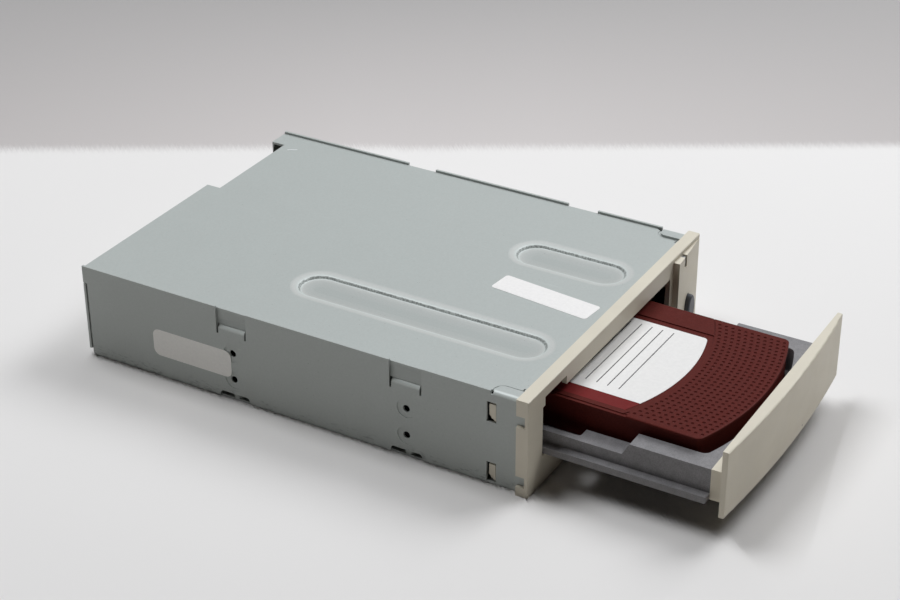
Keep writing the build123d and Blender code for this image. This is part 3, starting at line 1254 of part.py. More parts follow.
with BuildPart() as cartridge_base:
    extrude(cart_shape(cart_low, lip_overhang), amount=shell_split - cart_low)
    fillet(cartridge_base.faces().sort_by(Axis.Z)[0].edges(), 0.5)
    extrude(cart_shape(floor_top, cart_inside), amount=shell_split, mode=Mode.SUBTRACT)
    for x, y in cart_screws:
        with BuildSketch(cart_plane(cart_low)) as boss:
            with Locations((x, y)):
                Circle(3.0)
        extrude(boss.sketch, amount=shell_split - cart_low)
        with BuildSketch(cart_plane(cart_low)) as sink:
            with Locations((x, y)):
                Circle(2.0)
        extrude(sink.sketch, amount=1.3, mode=Mode.SUBTRACT)
        with BuildSketch(cart_plane(cart_low)) as pilot:
            with Locations((x, y)):
                Circle(1.0)
        extrude(pilot.sketch, amount=shell_split - cart_low + 1, mode=Mode.SUBTRACT)
    cart_block(door_window, through_nose, (floor_top, shell_split + 1), mode=Mode.SUBTRACT)
    cart_block(slot_x, through_nose, slot_z, mode=Mode.SUBTRACT)
save(cartridge_base, "cartridge_base")

screw_places = [in_cart(x, y) for x, y in cart_screws]
with BuildPart() as cartridge_screws:
    upright(screw_places, 1.9, (cart_low + 0.2, cart_low + 1.3))
    upright(screw_places, 0.95, (cart_low + 1.3, shell_split - 0.5))
    blocks([(x, y, cart_low + 0.4) for x, y in screw_places], (2.4, 0.5, 0.8), mode=Mode.SUBTRACT)
save(cartridge_screws, "cartridge_screws")

with BuildPart() as cartridge_label:
    extrude(label_shape(cart_top - recess_depth, label_span, label_radius, label_end, 2.0), amount=paper)
save(cartridge_label, "cartridge_label")

with BuildPart() as side_strip:
    strip_span = (near_band + 0.3, label_span[0])
    strip_outline = label_shape(cart_top - recess_depth, strip_span, label_radius, label_end, 0.5)
    extrude(strip_outline, amount=paper - 0.05)
save(side_strip, "side_strip")

# Reels: hubs on pins, with the tape packs wound on them
hub_z = (floor_top + 0.3, tape_low + tape_width + 1.0)
reel_places = {"left": (-reel_x, reel_y, full_pack), "right": (reel_x, reel_y, part_pack)}
for name, (x, y, pack) in reel_places.items():
    place = in_cart(x, y)
    with BuildPart() as reel_hub:
        upright([place], hub_radius, hub_z)
        upright([place], hub_radius + 1.6, (hub_z[0], tape_low - 0.2))
        with BuildSketch(level(hub_z[1] - 1.6)):
            with Locations(place):
                with PolarLocations(5.4, 3):
                    Rectangle(3.0, 1.8)
        extrude(amount=3.0, mode=Mode.SUBTRACT)
        upright([place], reel_pin + running, (0, case_height), mode=Mode.SUBTRACT)
    save(reel_hub, "reel_hub_" + name)
    with BuildPart() as tape_pack:
        upright([place], pack, (tape_low, tape_low + tape_width))
        upright([place], hub_radius, (0, case_height), mode=Mode.SUBTRACT)
    save(tape_pack, "tape_pack_" + name)

# Rollers and pins
roller_place = in_cart(*roller_local)
corner_places = {"left": in_cart(-corner_x, corner_y), "right": in_cart(corner_x, corner_y)}
hinge_place = in_cart(door_left - 0.4, nose_wall[0] + 0.95)
guide_pin_y = tape_line - tape_thickness - sliding - guide_pin_radius
guide_pins = [in_cart(-31.0, guide_pin_y), in_cart(31.0, guide_pin_y)]
with BuildPart() as drive_roller:
    upright([roller_place], belt_section, (floor_top + 0.4, puck_z[1] - 0.2))
    upright([roller_place], puck_section, (puck_z[0] + 0.1, puck_z[1] - 0.2))
    upright([roller_place], belt_section + 0.9, (floor_top + 0.4, tape_low - 0.2))
    upright([roller_place], roller_pin + running, (0, case_height), mode=Mode.SUBTRACT)
save(drive_roller, "drive_roller")

for name, place in corner_places.items():
    with BuildPart() as corner_wheel:
        upright([place], corner_roller, (floor_top + 0.4, belt_low + belt_height + 1.0))
        upright([place], corner_roller + 0.8, (floor_top + 0.4, belt_low - 0.3))
        upright([place], roller_pin + running, (0, case_height), mode=Mode.SUBTRACT)
    save(corner_wheel, "corner_roller_" + name)

with BuildPart() as cartridge_pins:
    upright([in_cart(x, y) for x, y, pack in reel_places.values()], reel_pin, (floor_top, hub_z[1] - 0.5))
    upright([roller_place], roller_pin, (floor_top, top_plate_low))
    upright(list(corner_places.values()), roller_pin, (floor_top, belt_low + belt_height + 2.0))
    upright(guide_pins, guide_pin_radius, (floor_top, tape_low + tape_width + 1.0))
    upright([hinge_place], 0.5, (floor_top, door_z[1] + 0.3))
save(cartridge_pins, "cartridge_pins")

pack_allowance = belt_thickness + 2 * running
belt_wheels = [
    (*roller_local, belt_section, 1),
    (-reel_x, reel_y, full_pack + pack_allowance, -1),
    (-corner_x, corner_y, corner_roller, 1),
    (corner_x, corner_y, corner_roller, 1),
    (reel_x, reel_y, part_pack + pack_allowance, -1),
]
with BuildPart() as cartridge_belt:
    with BuildSketch(cart_plane(belt_low)):
        with BuildLine():
            belt_loop(belt_wheels, running + belt_thickness)
        make_face()
        with BuildLine():
            belt_loop(belt_wheels, running)
        make_face(mode=Mode.SUBTRACT)
    extrude(amount=belt_height)
save(cartridge_belt, "cartridge_belt")

tape_wheels = [
    (reel_x, reel_y, part_pack, 1),
    (31.0, guide_pin_y, guide_pin_radius, 1),
    (-31.0, guide_pin_y, guide_pin_radius, 1),
    (-reel_x, reel_y, full_pack, 1),
]
with BuildPart() as tape_run:
    with BuildSketch(cart_plane(tape_low)):
        with BuildLine():
            belt_loop(tape_wheels, sliding + tape_thickness)
        make_face()
        with BuildLine():
            belt_loop(tape_wheels, sliding)
        make_face(mode=Mode.SUBTRACT)
        with Locations((0, reel_y - 24)):
            Rectangle(cart_width, 50.0, mode=Mode.SUBTRACT)
    extrude(amount=tape_width)
save(tape_run, "tape_run")

# Access door on its pin, and the write-protect slider
with BuildPart() as access_door:
    cart_block((door_left - 0.4, door_right), (nose_wall[1] - door_thickness, nose_wall[1]), door_z)
    upright([hinge_place], 1.0, door_z)
    upright([hinge_place], 0.5 + running, (0, case_height), mode=Mode.SUBTRACT)
save(access_door, "access_door")

slider_travel = 5.0
with BuildPart() as write_protect_slider:
    slider_x = (slot_x[0] + 0.3, slot_x[1] - 0.3 - slider_travel)
    cart_block(slider_x, (nose_wall[0] + 0.2, nose_wall[1]), (slot_z[0] + 0.15, slot_z[1] - 0.15))
    slider_middle = (slider_x[0] + slider_x[1]) / 2
    nail_x = (slider_middle - 0.8, slider_middle + 0.8)
    cart_block(nail_x, (nose_wall[1] - 0.4, nose_wall[1] + 0.1), slot_z, mode=Mode.SUBTRACT)
save(write_protect_slider, "write_protect_slider")
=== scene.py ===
"""Looks for a removable-cartridge drive: materials, fine surface forms, floor, light and camera.

Lengths named here are in millimetres and angles in degrees unless they say otherwise, and mm() turns
millimetres into Blender's metres. The frame is the part's own: +X right seen from the front, +Y to the rear,
+Z up from the underside.
"""

import json
from math import cos, pi, radians, sin, sqrt

import bmesh
import bpy
from mathutils import Matrix, Vector


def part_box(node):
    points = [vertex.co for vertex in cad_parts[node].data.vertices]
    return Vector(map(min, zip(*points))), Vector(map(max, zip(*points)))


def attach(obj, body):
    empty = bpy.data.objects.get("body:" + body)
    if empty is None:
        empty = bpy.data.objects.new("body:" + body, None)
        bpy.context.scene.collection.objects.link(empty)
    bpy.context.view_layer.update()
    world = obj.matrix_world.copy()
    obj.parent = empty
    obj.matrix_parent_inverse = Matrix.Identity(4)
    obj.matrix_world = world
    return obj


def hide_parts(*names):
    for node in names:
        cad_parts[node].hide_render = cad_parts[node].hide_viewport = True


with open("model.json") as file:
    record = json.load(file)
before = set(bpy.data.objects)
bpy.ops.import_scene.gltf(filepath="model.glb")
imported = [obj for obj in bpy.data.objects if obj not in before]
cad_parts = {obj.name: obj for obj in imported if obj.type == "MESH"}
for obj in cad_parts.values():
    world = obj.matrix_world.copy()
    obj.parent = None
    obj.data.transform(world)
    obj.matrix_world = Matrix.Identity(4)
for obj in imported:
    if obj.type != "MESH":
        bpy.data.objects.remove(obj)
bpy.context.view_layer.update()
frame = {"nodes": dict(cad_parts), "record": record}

UP = (0, 0, 1)

# Camera, as the photograph was taken; what is nearer or further than the clip distances, in metres, is cut
CAMERA_AT = (-619.98, -378.53, 438.08)
CAMERA_AZIMUTH = -59.702
CAMERA_ELEVATION = 29.872
CAMERA_ROLL = -0.304
LENS = 81.92
SENSOR_WIDTH = 36
CLIP_START = 0.01
CLIP_END = 50

# Floor: white near the object, a darker backdrop tone beyond a line that crosses behind it, seen from the
# camera, and painted shade that darkens it further at the fade's end and, just beyond the line, towards both
# sides
FLOOR_WHITE = (0.77, 0.74, 0.708)
BACKDROP_LOW = (0.568, 0.528, 0.505)
BACKDROP_GREY = (0.385, 0.366, 0.352)
FLOOR_EDGE = 188.0
FLOOR_BLUR = 4.0
FLOOR_FADE = 210.0
BACKDROP_MIDDLE = 14.0
BACKDROP_HALF = 250.0
BACKDROP_SIDE_SHADE = 0.87

# Half the floor's side, in metres
FLOOR_HALF = 20000

# Light: square lamps that look at the origin, as (name, place, size, watts), and the strength of the world
LAMPS = (
    ("right", (918, 0, 1311), 1500, 7.0),
    ("rear", (-60, 547, 1504), 700, 14.9),
    ("front_right", (860, -500, 1150), 700, 11.6),
)
LAMP_TINT = (0.965, 1.0, 1.05)
AMBIENT = 0.0

# Cartridge, as it lies in the drawer: its turn and its offset from the tray's middle
CART_TURN = -1.1
CART_OFFSET = -0.8

# Dimples of the cartridge's grip: rows on arcs about the grip's own centre, inwards from the first one, and
# the rings of the bowl that cuts a dimple, as (share of the radius, share of the depth)
GRIP_RADIUS = 110.0
GRIP_ROWS = 11
GRIP_FIRST = 108.3
GRIP_PITCH = 2.5
GRIP_COLUMN = 2.46
GRIP_HALF = 37.2
DIMPLE_RADIUS = 0.72
DIMPLE_DEPTH = 0.5
DIMPLE_SIDES = 12
DIMPLE_RINGS = ((1.08, -0.25), (1.0, 0.0), (0.84, 0.45), (0.5, 0.85))

# How far the bezel reaches ahead of its rear face
BEZEL_REACH = 7.8

# Blank stickers: those on the cover are placed from the middle and the bezel's rear face, and lean from
# straight back, counter-clockwise seen from above; the side's is placed from the rear face and the underside
STICKER_THICKNESS = 0.08
CORNER_STEPS = 6
TOP_STICKER_AT = (-1.6, 26.6)
TOP_STICKER_SIZE = (44.2, 11.5)
TOP_STICKER_LEAN = -6.0
TOP_STICKER_CORNER = 1.3
SIDE_STICKER_AT = (146.5, 16.4)
SIDE_STICKER_SIZE = (38.0, 12.0)
SIDE_STICKER_CORNER = 3.0

# Pale scratch on the cover, placed like a sticker
SCRATCH_AT = (59.5, 186.8)
SCRATCH_SIZE = (4.6, 0.5)
SCRATCH_LEAN = 30.0
SCRATCH_CORNER = 0.25

# Ruled lines of the cartridge's label, in the cartridge's own frame
RULE_ROWS = (66.55, 61.95, 57.35, 52.8, 48.05)
RULE_SPAN = (-24.6, 22.3)
RULE_WIDTH = 0.4
RULE_THICKNESS = 0.02

# Pinhole of the drawer front, from the tray's middle and the front's lower edge, and the dark plug in it,
# painted shade for the hole's dark inside, set behind the surface that a ray from this far ahead meets beside
# the hole
PINHOLE_ACROSS = 12.6
PINHOLE_RISE = 2.4
PINHOLE_RADIUS = 0.44
PINHOLE_SUNK = 0.08
PINHOLE_LENGTH = 1.2
PINHOLE_SIDES = 16
RAY_AHEAD = 10

# Edges of the mouldings that are a little round, as (piece, body, radius): only those sharper than the angle
SOFT_EDGES = (("front_bezel", "case", 0.25), ("tray", "drawer", 0.2))
SOFT_ANGLE = 40
SOFT_SEGMENTS = 3
SOFT_WEIGHT = 100

# Copies of CAD pieces: corners closer than this, in metres, become one, and flatter joints than this go
WELD_DISTANCE = 1e-7
FLAT_ANGLE = 0.5

# Cut pieces: the angles from which an edge stays sharp, and how far a face looks up or down to stay flat
GROOVE_SHARP = 30
DIMPLE_SHARP = 28
LEVEL = 0.9995

# Case steel: its colour, a painted highlight on surfaces that face partly up, the grooves' gentle rings among
# them, and the share of scuffs on steep walls, both as (how far the surface faces up, value), and the heights
# where the lower edge's smudges end and where they are strongest
ZINC = (0.402, 0.425, 0.402)
GROOVE_RING_HIGHLIGHT = (1.2, 1.15, 1.15)
PAINTED_TILT_HIGHLIGHTS = ((0.15, 1.0), (0.5, 1.5), (0.9, 1.4), (0.975, 1.34), (0.993, GROOVE_RING_HIGHLIGHT), (0.9985, 1.0))
STEEP_WALLS = ((0.3, 0.0), (0.45, 1.0), (0.8, 1.0), (0.93, 0.0))
COVER_SCUFF = 0.7
SMUDGE_BAND = (6.0, 3.0)

# Painted shade in the cover's grooves: the depths where it starts and where it is full, and its tone
GROOVE_SHADE_DEPTHS = (0.3, 1.7)
GROOVE_SHADE_TONE = 0.9

# Pressed grooves of the cover, as (middle from the left, front and rear ends from the bezel's rear face), and
# the section from the rim inwards, as (inset, height)
GROOVES = ((-37.5, 5.0, 119.8), (27.8, 3.9, 57.3))
GROOVE_HALF = 11.4
GROOVE_STEPS = 24
GROOVE_SECTION = (
    (-0.5, 0.3),
    (-0.5, 0.0),
    (0.0, -0.04),
    (0.7, -0.12),
    (1.6, -0.25),
    (2.3, -0.36),
    (2.7, -0.46),
    (2.95, -0.6),
    (3.15, -0.85),
    (3.35, -1.15),
    (3.6, -1.42),
    (3.95, -1.54),
    (4.6, -1.63),
    (5.6, -1.74),
    (7.0, -1.86),
    (9.0, -1.98),
    (11.2, -2.02),
)


def mm(value):
    """Millimetres, as a number or a tuple, in metres."""
    return tuple(v / 1000 for v in value) if isinstance(value, tuple) else value / 1000


def add_mesh(name, bm):
    """A new object from mesh code."""
    data = bpy.data.meshes.new(name)
    bmesh.ops.recalc_face_normals(bm, faces=bm.faces)
    bm.to_mesh(data)
    bm.free()
    piece = bpy.data.objects.new(name, data)
    bpy.context.scene.collection.objects.link(piece)
    return piece


def piece_on(piece, body, material):
    """Finishes a new piece: its body and its own material."""
    piece.data.materials.clear()
    piece.data.materials.append(material)
    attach(piece, body)
    return piece


# Materials: a small kit for node trees in real scale, then one function for each finish
class Finish:
    """A material with its shader and the object's own coordinates, in metres."""

    def __init__(self, name, color, roughness, metallic=0.0):
        self.material = bpy.data.materials.new(name)
        self.material.use_nodes = True
        self.nodes = self.material.node_tree.nodes
        self.links = self.material.node_tree.links
        self.shader = self.nodes["Principled BSDF"]
        self.shader.inputs["Base Color"].default_value = (*color, 1)
        self.shader.inputs["Roughness"].default_value = roughness
        self.shader.inputs["Metallic"].default_value = metallic
        self.place = self.nodes.new("ShaderNodeTexCoord").outputs["Object"]

    def stretched(self, scale):
        """The coordinates with each axis scaled, for marks that run one way."""
        mapping = self.nodes.new("ShaderNodeMapping")
        mapping.inputs["Scale"].default_value = scale
        self.links.new(self.place, mapping.inputs["Vector"])
        return mapping.outputs["Vector"]

    def noise(self, size, detail=3.0, place=None):
        """Noise whose features are about size millimetres."""
        node = self.nodes.new("ShaderNodeTexNoise")
        node.inputs["Scale"].default_value = 1000 / size
        node.inputs["Detail"].default_value = detail
        self.links.new(place or self.place, node.inputs["Vector"])
        return node.outputs["Fac"]

    def cells(self, size, place=None):
        """Distance to scattered points that are about size millimetres apart."""
        node = self.nodes.new("ShaderNodeTexVoronoi")
        node.inputs["Scale"].default_value = 1000 / size
        self.links.new(place or self.place, node.inputs["Vector"])
        return node.outputs["Distance"]

    def reach(self, vector, direction):
        """How far a vector reaches along a direction."""
        node = self.nodes.new("ShaderNodeVectorMath")
        node.operation = "DOT_PRODUCT"
        node.inputs[1].default_value = direction
        self.links.new(vector, node.inputs[0])
        return node.outputs["Value"]

    def along(self, direction):
        """How far a place lies along a direction, in metres."""
        return self.reach(self.place, direction)

    def facing(self, direction):
        """How far the surface faces a direction: 1 where it does, 0 where it lies along it."""
        return self.reach(self.nodes.new("ShaderNodeNewGeometry").outputs["Normal"], direction)

    def spread(self, value, first, last):
        """A value in metres that runs from 0 at the first place to 1 at the last, both in millimetres."""
        node = self.nodes.new("ShaderNodeMapRange")
        node.inputs["From Min"].default_value = mm(first)
        node.inputs["From Max"].default_value = mm(last)
        self.links.new(value, node.inputs["Value"])
        return node.outputs["Result"]

    def ramp(self, factor, *stops):
        """A colour or value that follows a factor, from (position, value) stops."""
        node = self.nodes.new("ShaderNodeValToRGB")
        elements = node.color_ramp.elements
        while len(elements) < len(stops):
            elements.new(0.5)
        for element, (position, value) in zip(elements, stops):
            element.position = position
            rgb = value if isinstance(value, tuple) else (value,) * 3
            element.color = (*rgb, 1)
        self.links.new(factor, node.inputs["Fac"])
        return node.outputs["Color"]

    def blend(self, factor, first, second, mode="MIX"):
        """Two colours mixed by a factor, each a socket or a plain colour."""
        node = self.nodes.new("ShaderNodeMix")
        node.data_type = "RGBA"
        node.blend_type = mode
        for name, value in (("A", first), ("B", second)):
            socket = [s for s in node.inputs if s.name == name and s.type == "RGBA"][0]
            if isinstance(value, tuple):
                socket.default_value = (*value, 1)
            else:
                self.links.new(value, socket)
        if isinstance(factor, float):
            node.inputs["Factor"].default_value = factor
        else:
            self.links.new(factor, node.inputs["Factor"])
        return [s for s in node.outputs if s.type == "RGBA"][0]

    def times(self, first, second):
        """Two colours or values multiplied."""
        return self.blend(1.0, first, second, "MULTIPLY")

    def paint(self, socket, source):
        """Feeds one of the shader's sockets."""
        self.links.new(source, self.shader.inputs[socket])

    def bump(self, *layers):
        """Surface relief from (height source, depth in millimetres) layers."""
        normal = None
        for height, depth in layers:
            node = self.nodes.new("ShaderNodeBump")
            node.inputs["Distance"].default_value = mm(depth)
            node.inputs["Strength"].default_value = 1.0
            self.links.new(height, node.inputs["Height"])
            if normal:
                self.links.new(normal, node.inputs["Normal"])
            normal = node.outputs["Normal"]
        self.links.new(normal, self.shader.inputs["Normal"])


def shade(color, factor):
    """A colour made lighter or darker."""
    return tuple(min(1.0, c * factor) for c in color)


def zinc_sheet(m):
    """Fine grain with sparse dark specks, and in patches faint pale rubs that run from front to rear."""
    grain = m.ramp(m.noise(0.8, 3), (0.3, shade(ZINC, 0.97)), (0.7, shade(ZINC, 1.03)))
    specks = m.ramp(m.cells(2.3), (0.05, 1.0), (0.1, 0.0))
    sparse = m.ramp(m.noise(5, 1), (0.57, 0.0), (0.61, 1.0))
    tone = m.blend(m.times(specks, sparse), grain, shade(ZINC, 0.66))
    rubs = m.ramp(m.noise(0.8, 2, m.stretched((1.0, 0.03, 1.0))), (0.68, 0.0), (0.75, 0.5))
    patches = m.ramp(m.noise(24, 2), (0.56, 0.0), (0.68, 1.0))
    return m.blend(m.times(rubs, patches), tone, shade(ZINC, 1.25))


def edge_smudges(m):
    """How strong the dark smudges along the case's lower edge are."""
    low = m.ramp(m.spread(m.along(UP), *SMUDGE_BAND), (0.0, 0.0), (1.0, 0.5))
    smears = m.ramp(m.noise(0.9, 3, m.stretched((1.0, 0.3, 1.0))), (0.54, 0.0), (0.62, 1.0))
    places = m.ramp(m.noise(14, 2), (0.42, 0.0), (0.52, 1.0))
    return m.times(m.times(low, smears), places)


def case_steel(name, scuff=0.0, rim=None):
    """Satin zinc-plated sheet with a painted highlight where it faces partly up, on bends, lips and groove
    slopes, and dark smudges along its lower edge.

    Steep walls are scuffed by a share, and grooves below the rim's height are darkened a little by painted
    shade.
    """
    m = Finish(name, ZINC, 0.48, 0.12)
    lift = m.facing(UP)
    # Brighter by how far the surface faces up: a painted highlight on bends, lips and groove slopes
    tone = m.times(zinc_sheet(m), m.ramp(lift, *PAINTED_TILT_HIGHLIGHTS))
    # Painted shade: the cover darker the deeper it lies below the rim, inside its grooves
    if rim:
        sunk = m.spread(m.along(UP), rim - GROOVE_SHADE_DEPTHS[0], rim - GROOVE_SHADE_DEPTHS[1])
        tone = m.times(tone, m.ramp(sunk, (0.0, 1.0), (1.0, GROOVE_SHADE_TONE)))
    smudged = m.blend(edge_smudges(m), tone, shade(ZINC, 0.35))
    scuffs = m.ramp(m.noise(0.8, 4), (0.4, 0.0), (0.6, scuff))
    scuffed = m.times(m.ramp(lift, *STEEP_WALLS), scuffs)
    m.paint("Base Color", m.blend(scuffed, smudged, shade(ZINC, 0.4)))
    m.paint("Roughness", m.ramp(m.noise(9, 4), (0.3, 0.45), (0.7, 0.51)))
    m.bump((m.noise(0.5, 2), 0.004))
    return m.material


def moulded(name, color, roughness, grain=0.35, depth=0.012, tone=0.04):
    """Finely textured moulded plastic with a slight unevenness of colour."""
    m = Finish(name, color, roughness)
    clouds = m.noise(22, 3)
    m.paint("Base Color", m.ramp(clouds, (0.3, shade(color, 1 - tone)), (0.7, shade(color, 1 + tone))))
    m.paint("Roughness", m.ramp(m.noise(5, 4), (0.3, roughness - 0.05), (0.7, roughness + 0.06)))
    m.bump((m.noise(grain, 2), depth))
    return m.material


def tray_plastic():
    """Grey filled moulding: fine fibre grain and soft swirls."""
    grey = (0.186, 0.178, 0.179)
    m = Finish("tray_plastic", grey, 0.5)
    grain = m.ramp(m.noise(0.4, 2), (0.3, shade(grey, 0.84)), (0.7, shade(grey, 1.18)))
    swirl = m.ramp(m.noise(3.5, 3), (0.35, 0.9), (0.65, 1.06))
    m.paint("Base Color", m.times(grain, swirl))
    m.paint("Roughness", m.ramp(m.noise(2, 3), (0.3, 0.42), (0.7, 0.6)))
    m.bump((m.noise(0.4, 2), 0.012))
    return m.material


def cartridge_plastic():
    """Dark red satin moulding with a fine spark-eroded grain, glossier in the hollows of its dimples."""
    red = (0.088, 0.0149, 0.0115)
    m = Finish("cartridge_plastic", red, 0.42)
    m.shader.inputs["Specular IOR Level"].default_value = 0.05
    hollow = m.ramp(m.facing(UP), (0.1, 0.0), (0.2, 1.0), (0.97, 1.0), (0.995, 0.0))
    m.paint("Base Color", m.ramp(m.noise(0.6, 4), (0.3, shade(red, 0.85)), (0.7, shade(red, 1.15))))
    satin = m.ramp(m.noise(3, 3), (0.3, 0.38), (0.7, 0.5))
    m.paint("Roughness", m.blend(hollow, satin, (0.34, 0.34, 0.34)))
    m.bump((m.noise(0.3, 2), 0.015))
    return m.material


def paper(name, color, roughness=0.5, gloss=0.5):
    """Coated label stock: a faint fibre and a slight cockle."""
    m = Finish(name, color, roughness)
    m.shader.inputs["Specular IOR Level"].default_value = gloss
    m.paint("Base Color", m.ramp(m.noise(1.2, 5), (0.3, shade(color, 0.965)), (0.7, shade(color, 1.02))))
    m.paint("Roughness", m.ramp(m.noise(2.5, 3), (0.3, roughness - 0.06), (0.7, roughness + 0.08)))
    m.bump((m.noise(0.4, 3), 0.003), (m.noise(14, 2), 0.03))
    return m.material


def circuit_board():
    """Olive solder resist over traces that show as faint raised lines."""
    olive = (0.09, 0.10, 0.03)
    m = Finish("circuit_board", olive, 0.35)
    traces = m.ramp(m.cells(3.2, m.stretched((1.0, 0.25, 1.0))), (0.42, 0.0), (0.5, 1.0))
    m.paint("Base Color", m.blend(traces, olive, shade(olive, 1.5)))
    m.paint("Roughness", m.ramp(m.noise(4, 3), (0.3, 0.28), (0.7, 0.42)))
    m.bump((traces, 0.03))
    return m.material


def metal(name, color, roughness):
    """Turned or ground metal with fine lines that run up and down."""
    m = Finish(name, color, roughness, 1.0)
    lines = m.noise(0.25, 3, m.stretched((1.0, 1.0, 0.1)))
    m.paint("Base Color", m.ramp(lines, (0.3, shade(color, 0.9)), (0.7, shade(color, 1.08))))
    m.paint("Roughness", m.ramp(lines, (0.3, roughness - 0.06), (0.7, roughness + 0.08)))
    m.bump((lines, 0.004))
    return m.material


def clear_plastic():
    """Cloudy light pipe: pale, glossy, a little see-through."""
    m = Finish("clear_plastic", (0.80, 0.82, 0.80), 0.18)
    m.shader.inputs["Transmission Weight"].default_value = 0.6
    m.shader.inputs["IOR"].default_value = 1.49
    m.paint("Roughness", m.ramp(m.noise(2, 3), (0.3, 0.12), (0.7, 0.28)))
    m.bump((m.noise(1.5, 2), 0.01))
    return m.material


finishes = {
    "case_steel": case_steel("case_steel"),
    "bezel_plastic": moulded("bezel_plastic", (0.63, 0.574, 0.462), 0.5),
    "button_plastic": moulded("button_plastic", (0.07, 0.075, 0.085), 0.38),
    "clear_plastic": clear_plastic(),
    "tray_plastic": tray_plastic(),
    "cartridge_plastic": cartridge_plastic(),
    "label_paper": paper("label_paper", (0.765, 0.74, 0.705)),
    "red_paper": paper("red_paper", (0.15, 0.015, 0.0145), 0.45, 0.08),
    "circuit_board": circuit_board(),
    "black_plastic": moulded("black_plastic", (0.022, 0.022, 0.024), 0.42),
    "white_plastic": moulded("white_plastic", (0.66, 0.65, 0.60), 0.4),
    "gold_contact": metal("gold_contact", (0.75, 0.56, 0.22), 0.25),
    "bright_steel": metal("bright_steel", (0.5, 0.5, 0.49), 0.4),
    "motor_can": metal("motor_can", (0.5, 0.5, 0.48), 0.34),
    "rubber": moulded("rubber", (0.03, 0.03, 0.032), 0.75, 0.5, 0.02),
    "tape": moulded("tape", (0.05, 0.03, 0.022), 0.2, 0.6, 0.004),
    "head_metal": metal("head_metal", (0.6, 0.6, 0.6), 0.22),
}
slots = {row["node"]: row["material_slot"] for row in frame["record"]["subparts"]}
for name, slot in slots.items():
    node = frame["nodes"][name]
    node.data.materials.clear()
    node.data.materials.append(finishes[slot])


# Places taken from the CAD pieces
tray_low, tray_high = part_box("tray")
tray_middle = (tray_low.x + tray_high.x) / 2
front_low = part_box("tray_front")[0]
label_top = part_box("cartridge_label")[1].z
shell_low, shell_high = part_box("cartridge_top_shell")
cover_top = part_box("top_cover")[1].z
pan_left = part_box("chassis_pan")[0].x
bezel_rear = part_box("front_bezel")[0].y + mm(BEZEL_REACH)

# The cartridge's own frame: x across, y to the rear from the foremost point of its grip
cart_turn = radians(CART_TURN)
cart_front = shell_low.y + mm(GRIP_RADIUS) * (1 - cos(cart_turn))
cart_origin = Vector((tray_middle + mm(CART_OFFSET), cart_front, 0))


def in_cart(x, y, z):
    """A place of the cartridge's own frame, x and y in millimetres and z in metres, in metres."""
    across = cart_origin.x + mm(x * cos(cart_turn) - y * sin(cart_turn))
    along = cart_origin.y + mm(x * sin(cart_turn) + y * cos(cart_turn))
    return Vector((across, along, z))


# Mesh code that several pieces share
def join_rings(bm, rings):
    """Side faces from each ring of corners to the next."""
    for upper, lower in zip(rings, rings[1:]):
        for i in range(len(upper)):
            after = (i + 1) % len(upper)
            bm.faces.new((upper[i], upper[after], lower[after], lower[i]))


def closed_form(bm, rings):
    """A closed form through rings of corners, with a face across each end."""
    bm.faces.new(rings[0])
    bm.faces.new(rings[-1])
    join_rings(bm, rings)


def flat_patch(bm, corners, thickness, out):
    """A thin slab on a flat face: its outline lifted along the face's outward direction."""
    low = [bm.verts.new(c) for c in corners]
    high = [bm.verts.new(c + out * mm(thickness)) for c in corners]
    closed_form(bm, (low, high))


def welded_copy(node, name, flatness=0.0):
    """A copy of a CAD piece whose faces share their corners, flat faces joined where flatness is given."""
    data = frame["nodes"][node].data.copy()
    data.name = name
    bm = bmesh.new()
    bm.from_mesh(data)
    bmesh.ops.remove_doubles(bm, verts=bm.verts, dist=WELD_DISTANCE)
    if flatness:
        bmesh.ops.dissolve_limit(bm, angle_limit=radians(flatness), verts=bm.verts, edges=bm.edges)
    bm.to_mesh(data)
    bm.free()
    piece = bpy.data.objects.new(name, data)
    bpy.context.scene.collection.objects.link(piece)
    return piece


def settle(piece):
    """Makes a piece's modifiers part of its mesh."""
    graph = bpy.context.evaluated_depsgraph_get()
    shaped = bpy.data.meshes.new_from_object(piece.evaluated_get(graph))
    piece.modifiers.clear()
    piece.data = shaped


def carve(piece, bm, angle):
    """Cuts the closed forms of a bmesh out of a piece, and leaves its level faces flat."""
    cutter = add_mesh("cutter", bm)
    cut = piece.modifiers.new("cut", "BOOLEAN")
    cut.operation = "DIFFERENCE"
    cut.solver = "EXACT"
    cut.object = cutter
    settle(piece)
    piece.data.shade_smooth()
    piece.data.set_sharp_from_angle(angle=radians(angle))
    for face in piece.data.polygons:
        face.use_smooth = abs(face.normal.z) < LEVEL
    bpy.data.objects.remove(cutter)


# The dimpled grip of the cartridge
def dimple_places():
    """Where the grip's dimples lie: rows along arcs of the grip, columns straight along the cartridge."""
    places = []
    columns = int(GRIP_HALF / GRIP_COLUMN)
    for row in range(GRIP_ROWS):
        radius = GRIP_FIRST - row * GRIP_PITCH
        for column in range(-columns, columns + 1):
            x = column * GRIP_COLUMN
            places.append((x, GRIP_RADIUS - sqrt(radius**2 - x**2)))
    return places


def bowl(bm, centre):
    """A closed rounded bowl that cuts one dimple, standing proud of the surface by a little."""
    rings = []
    for share, drop in DIMPLE_RINGS:
        ring = []
        for side in range(DIMPLE_SIDES):
            angle = 2 * pi * side / DIMPLE_SIDES
            offset = Vector((cos(angle), sin(angle), 0)) * mm(DIMPLE_RADIUS * share)
            ring.append(bm.verts.new(centre + offset - Vector((0, 0, mm(DIMPLE_DEPTH * drop)))))
        rings.append(ring)
    bottom = bm.verts.new(centre - Vector((0, 0, mm(DIMPLE_DEPTH))))
    bm.faces.new(rings[0])
    join_rings(bm, rings)
    for side in range(DIMPLE_SIDES):
        bm.faces.new((rings[-1][side], rings[-1][(side + 1) % DIMPLE_SIDES], bottom))


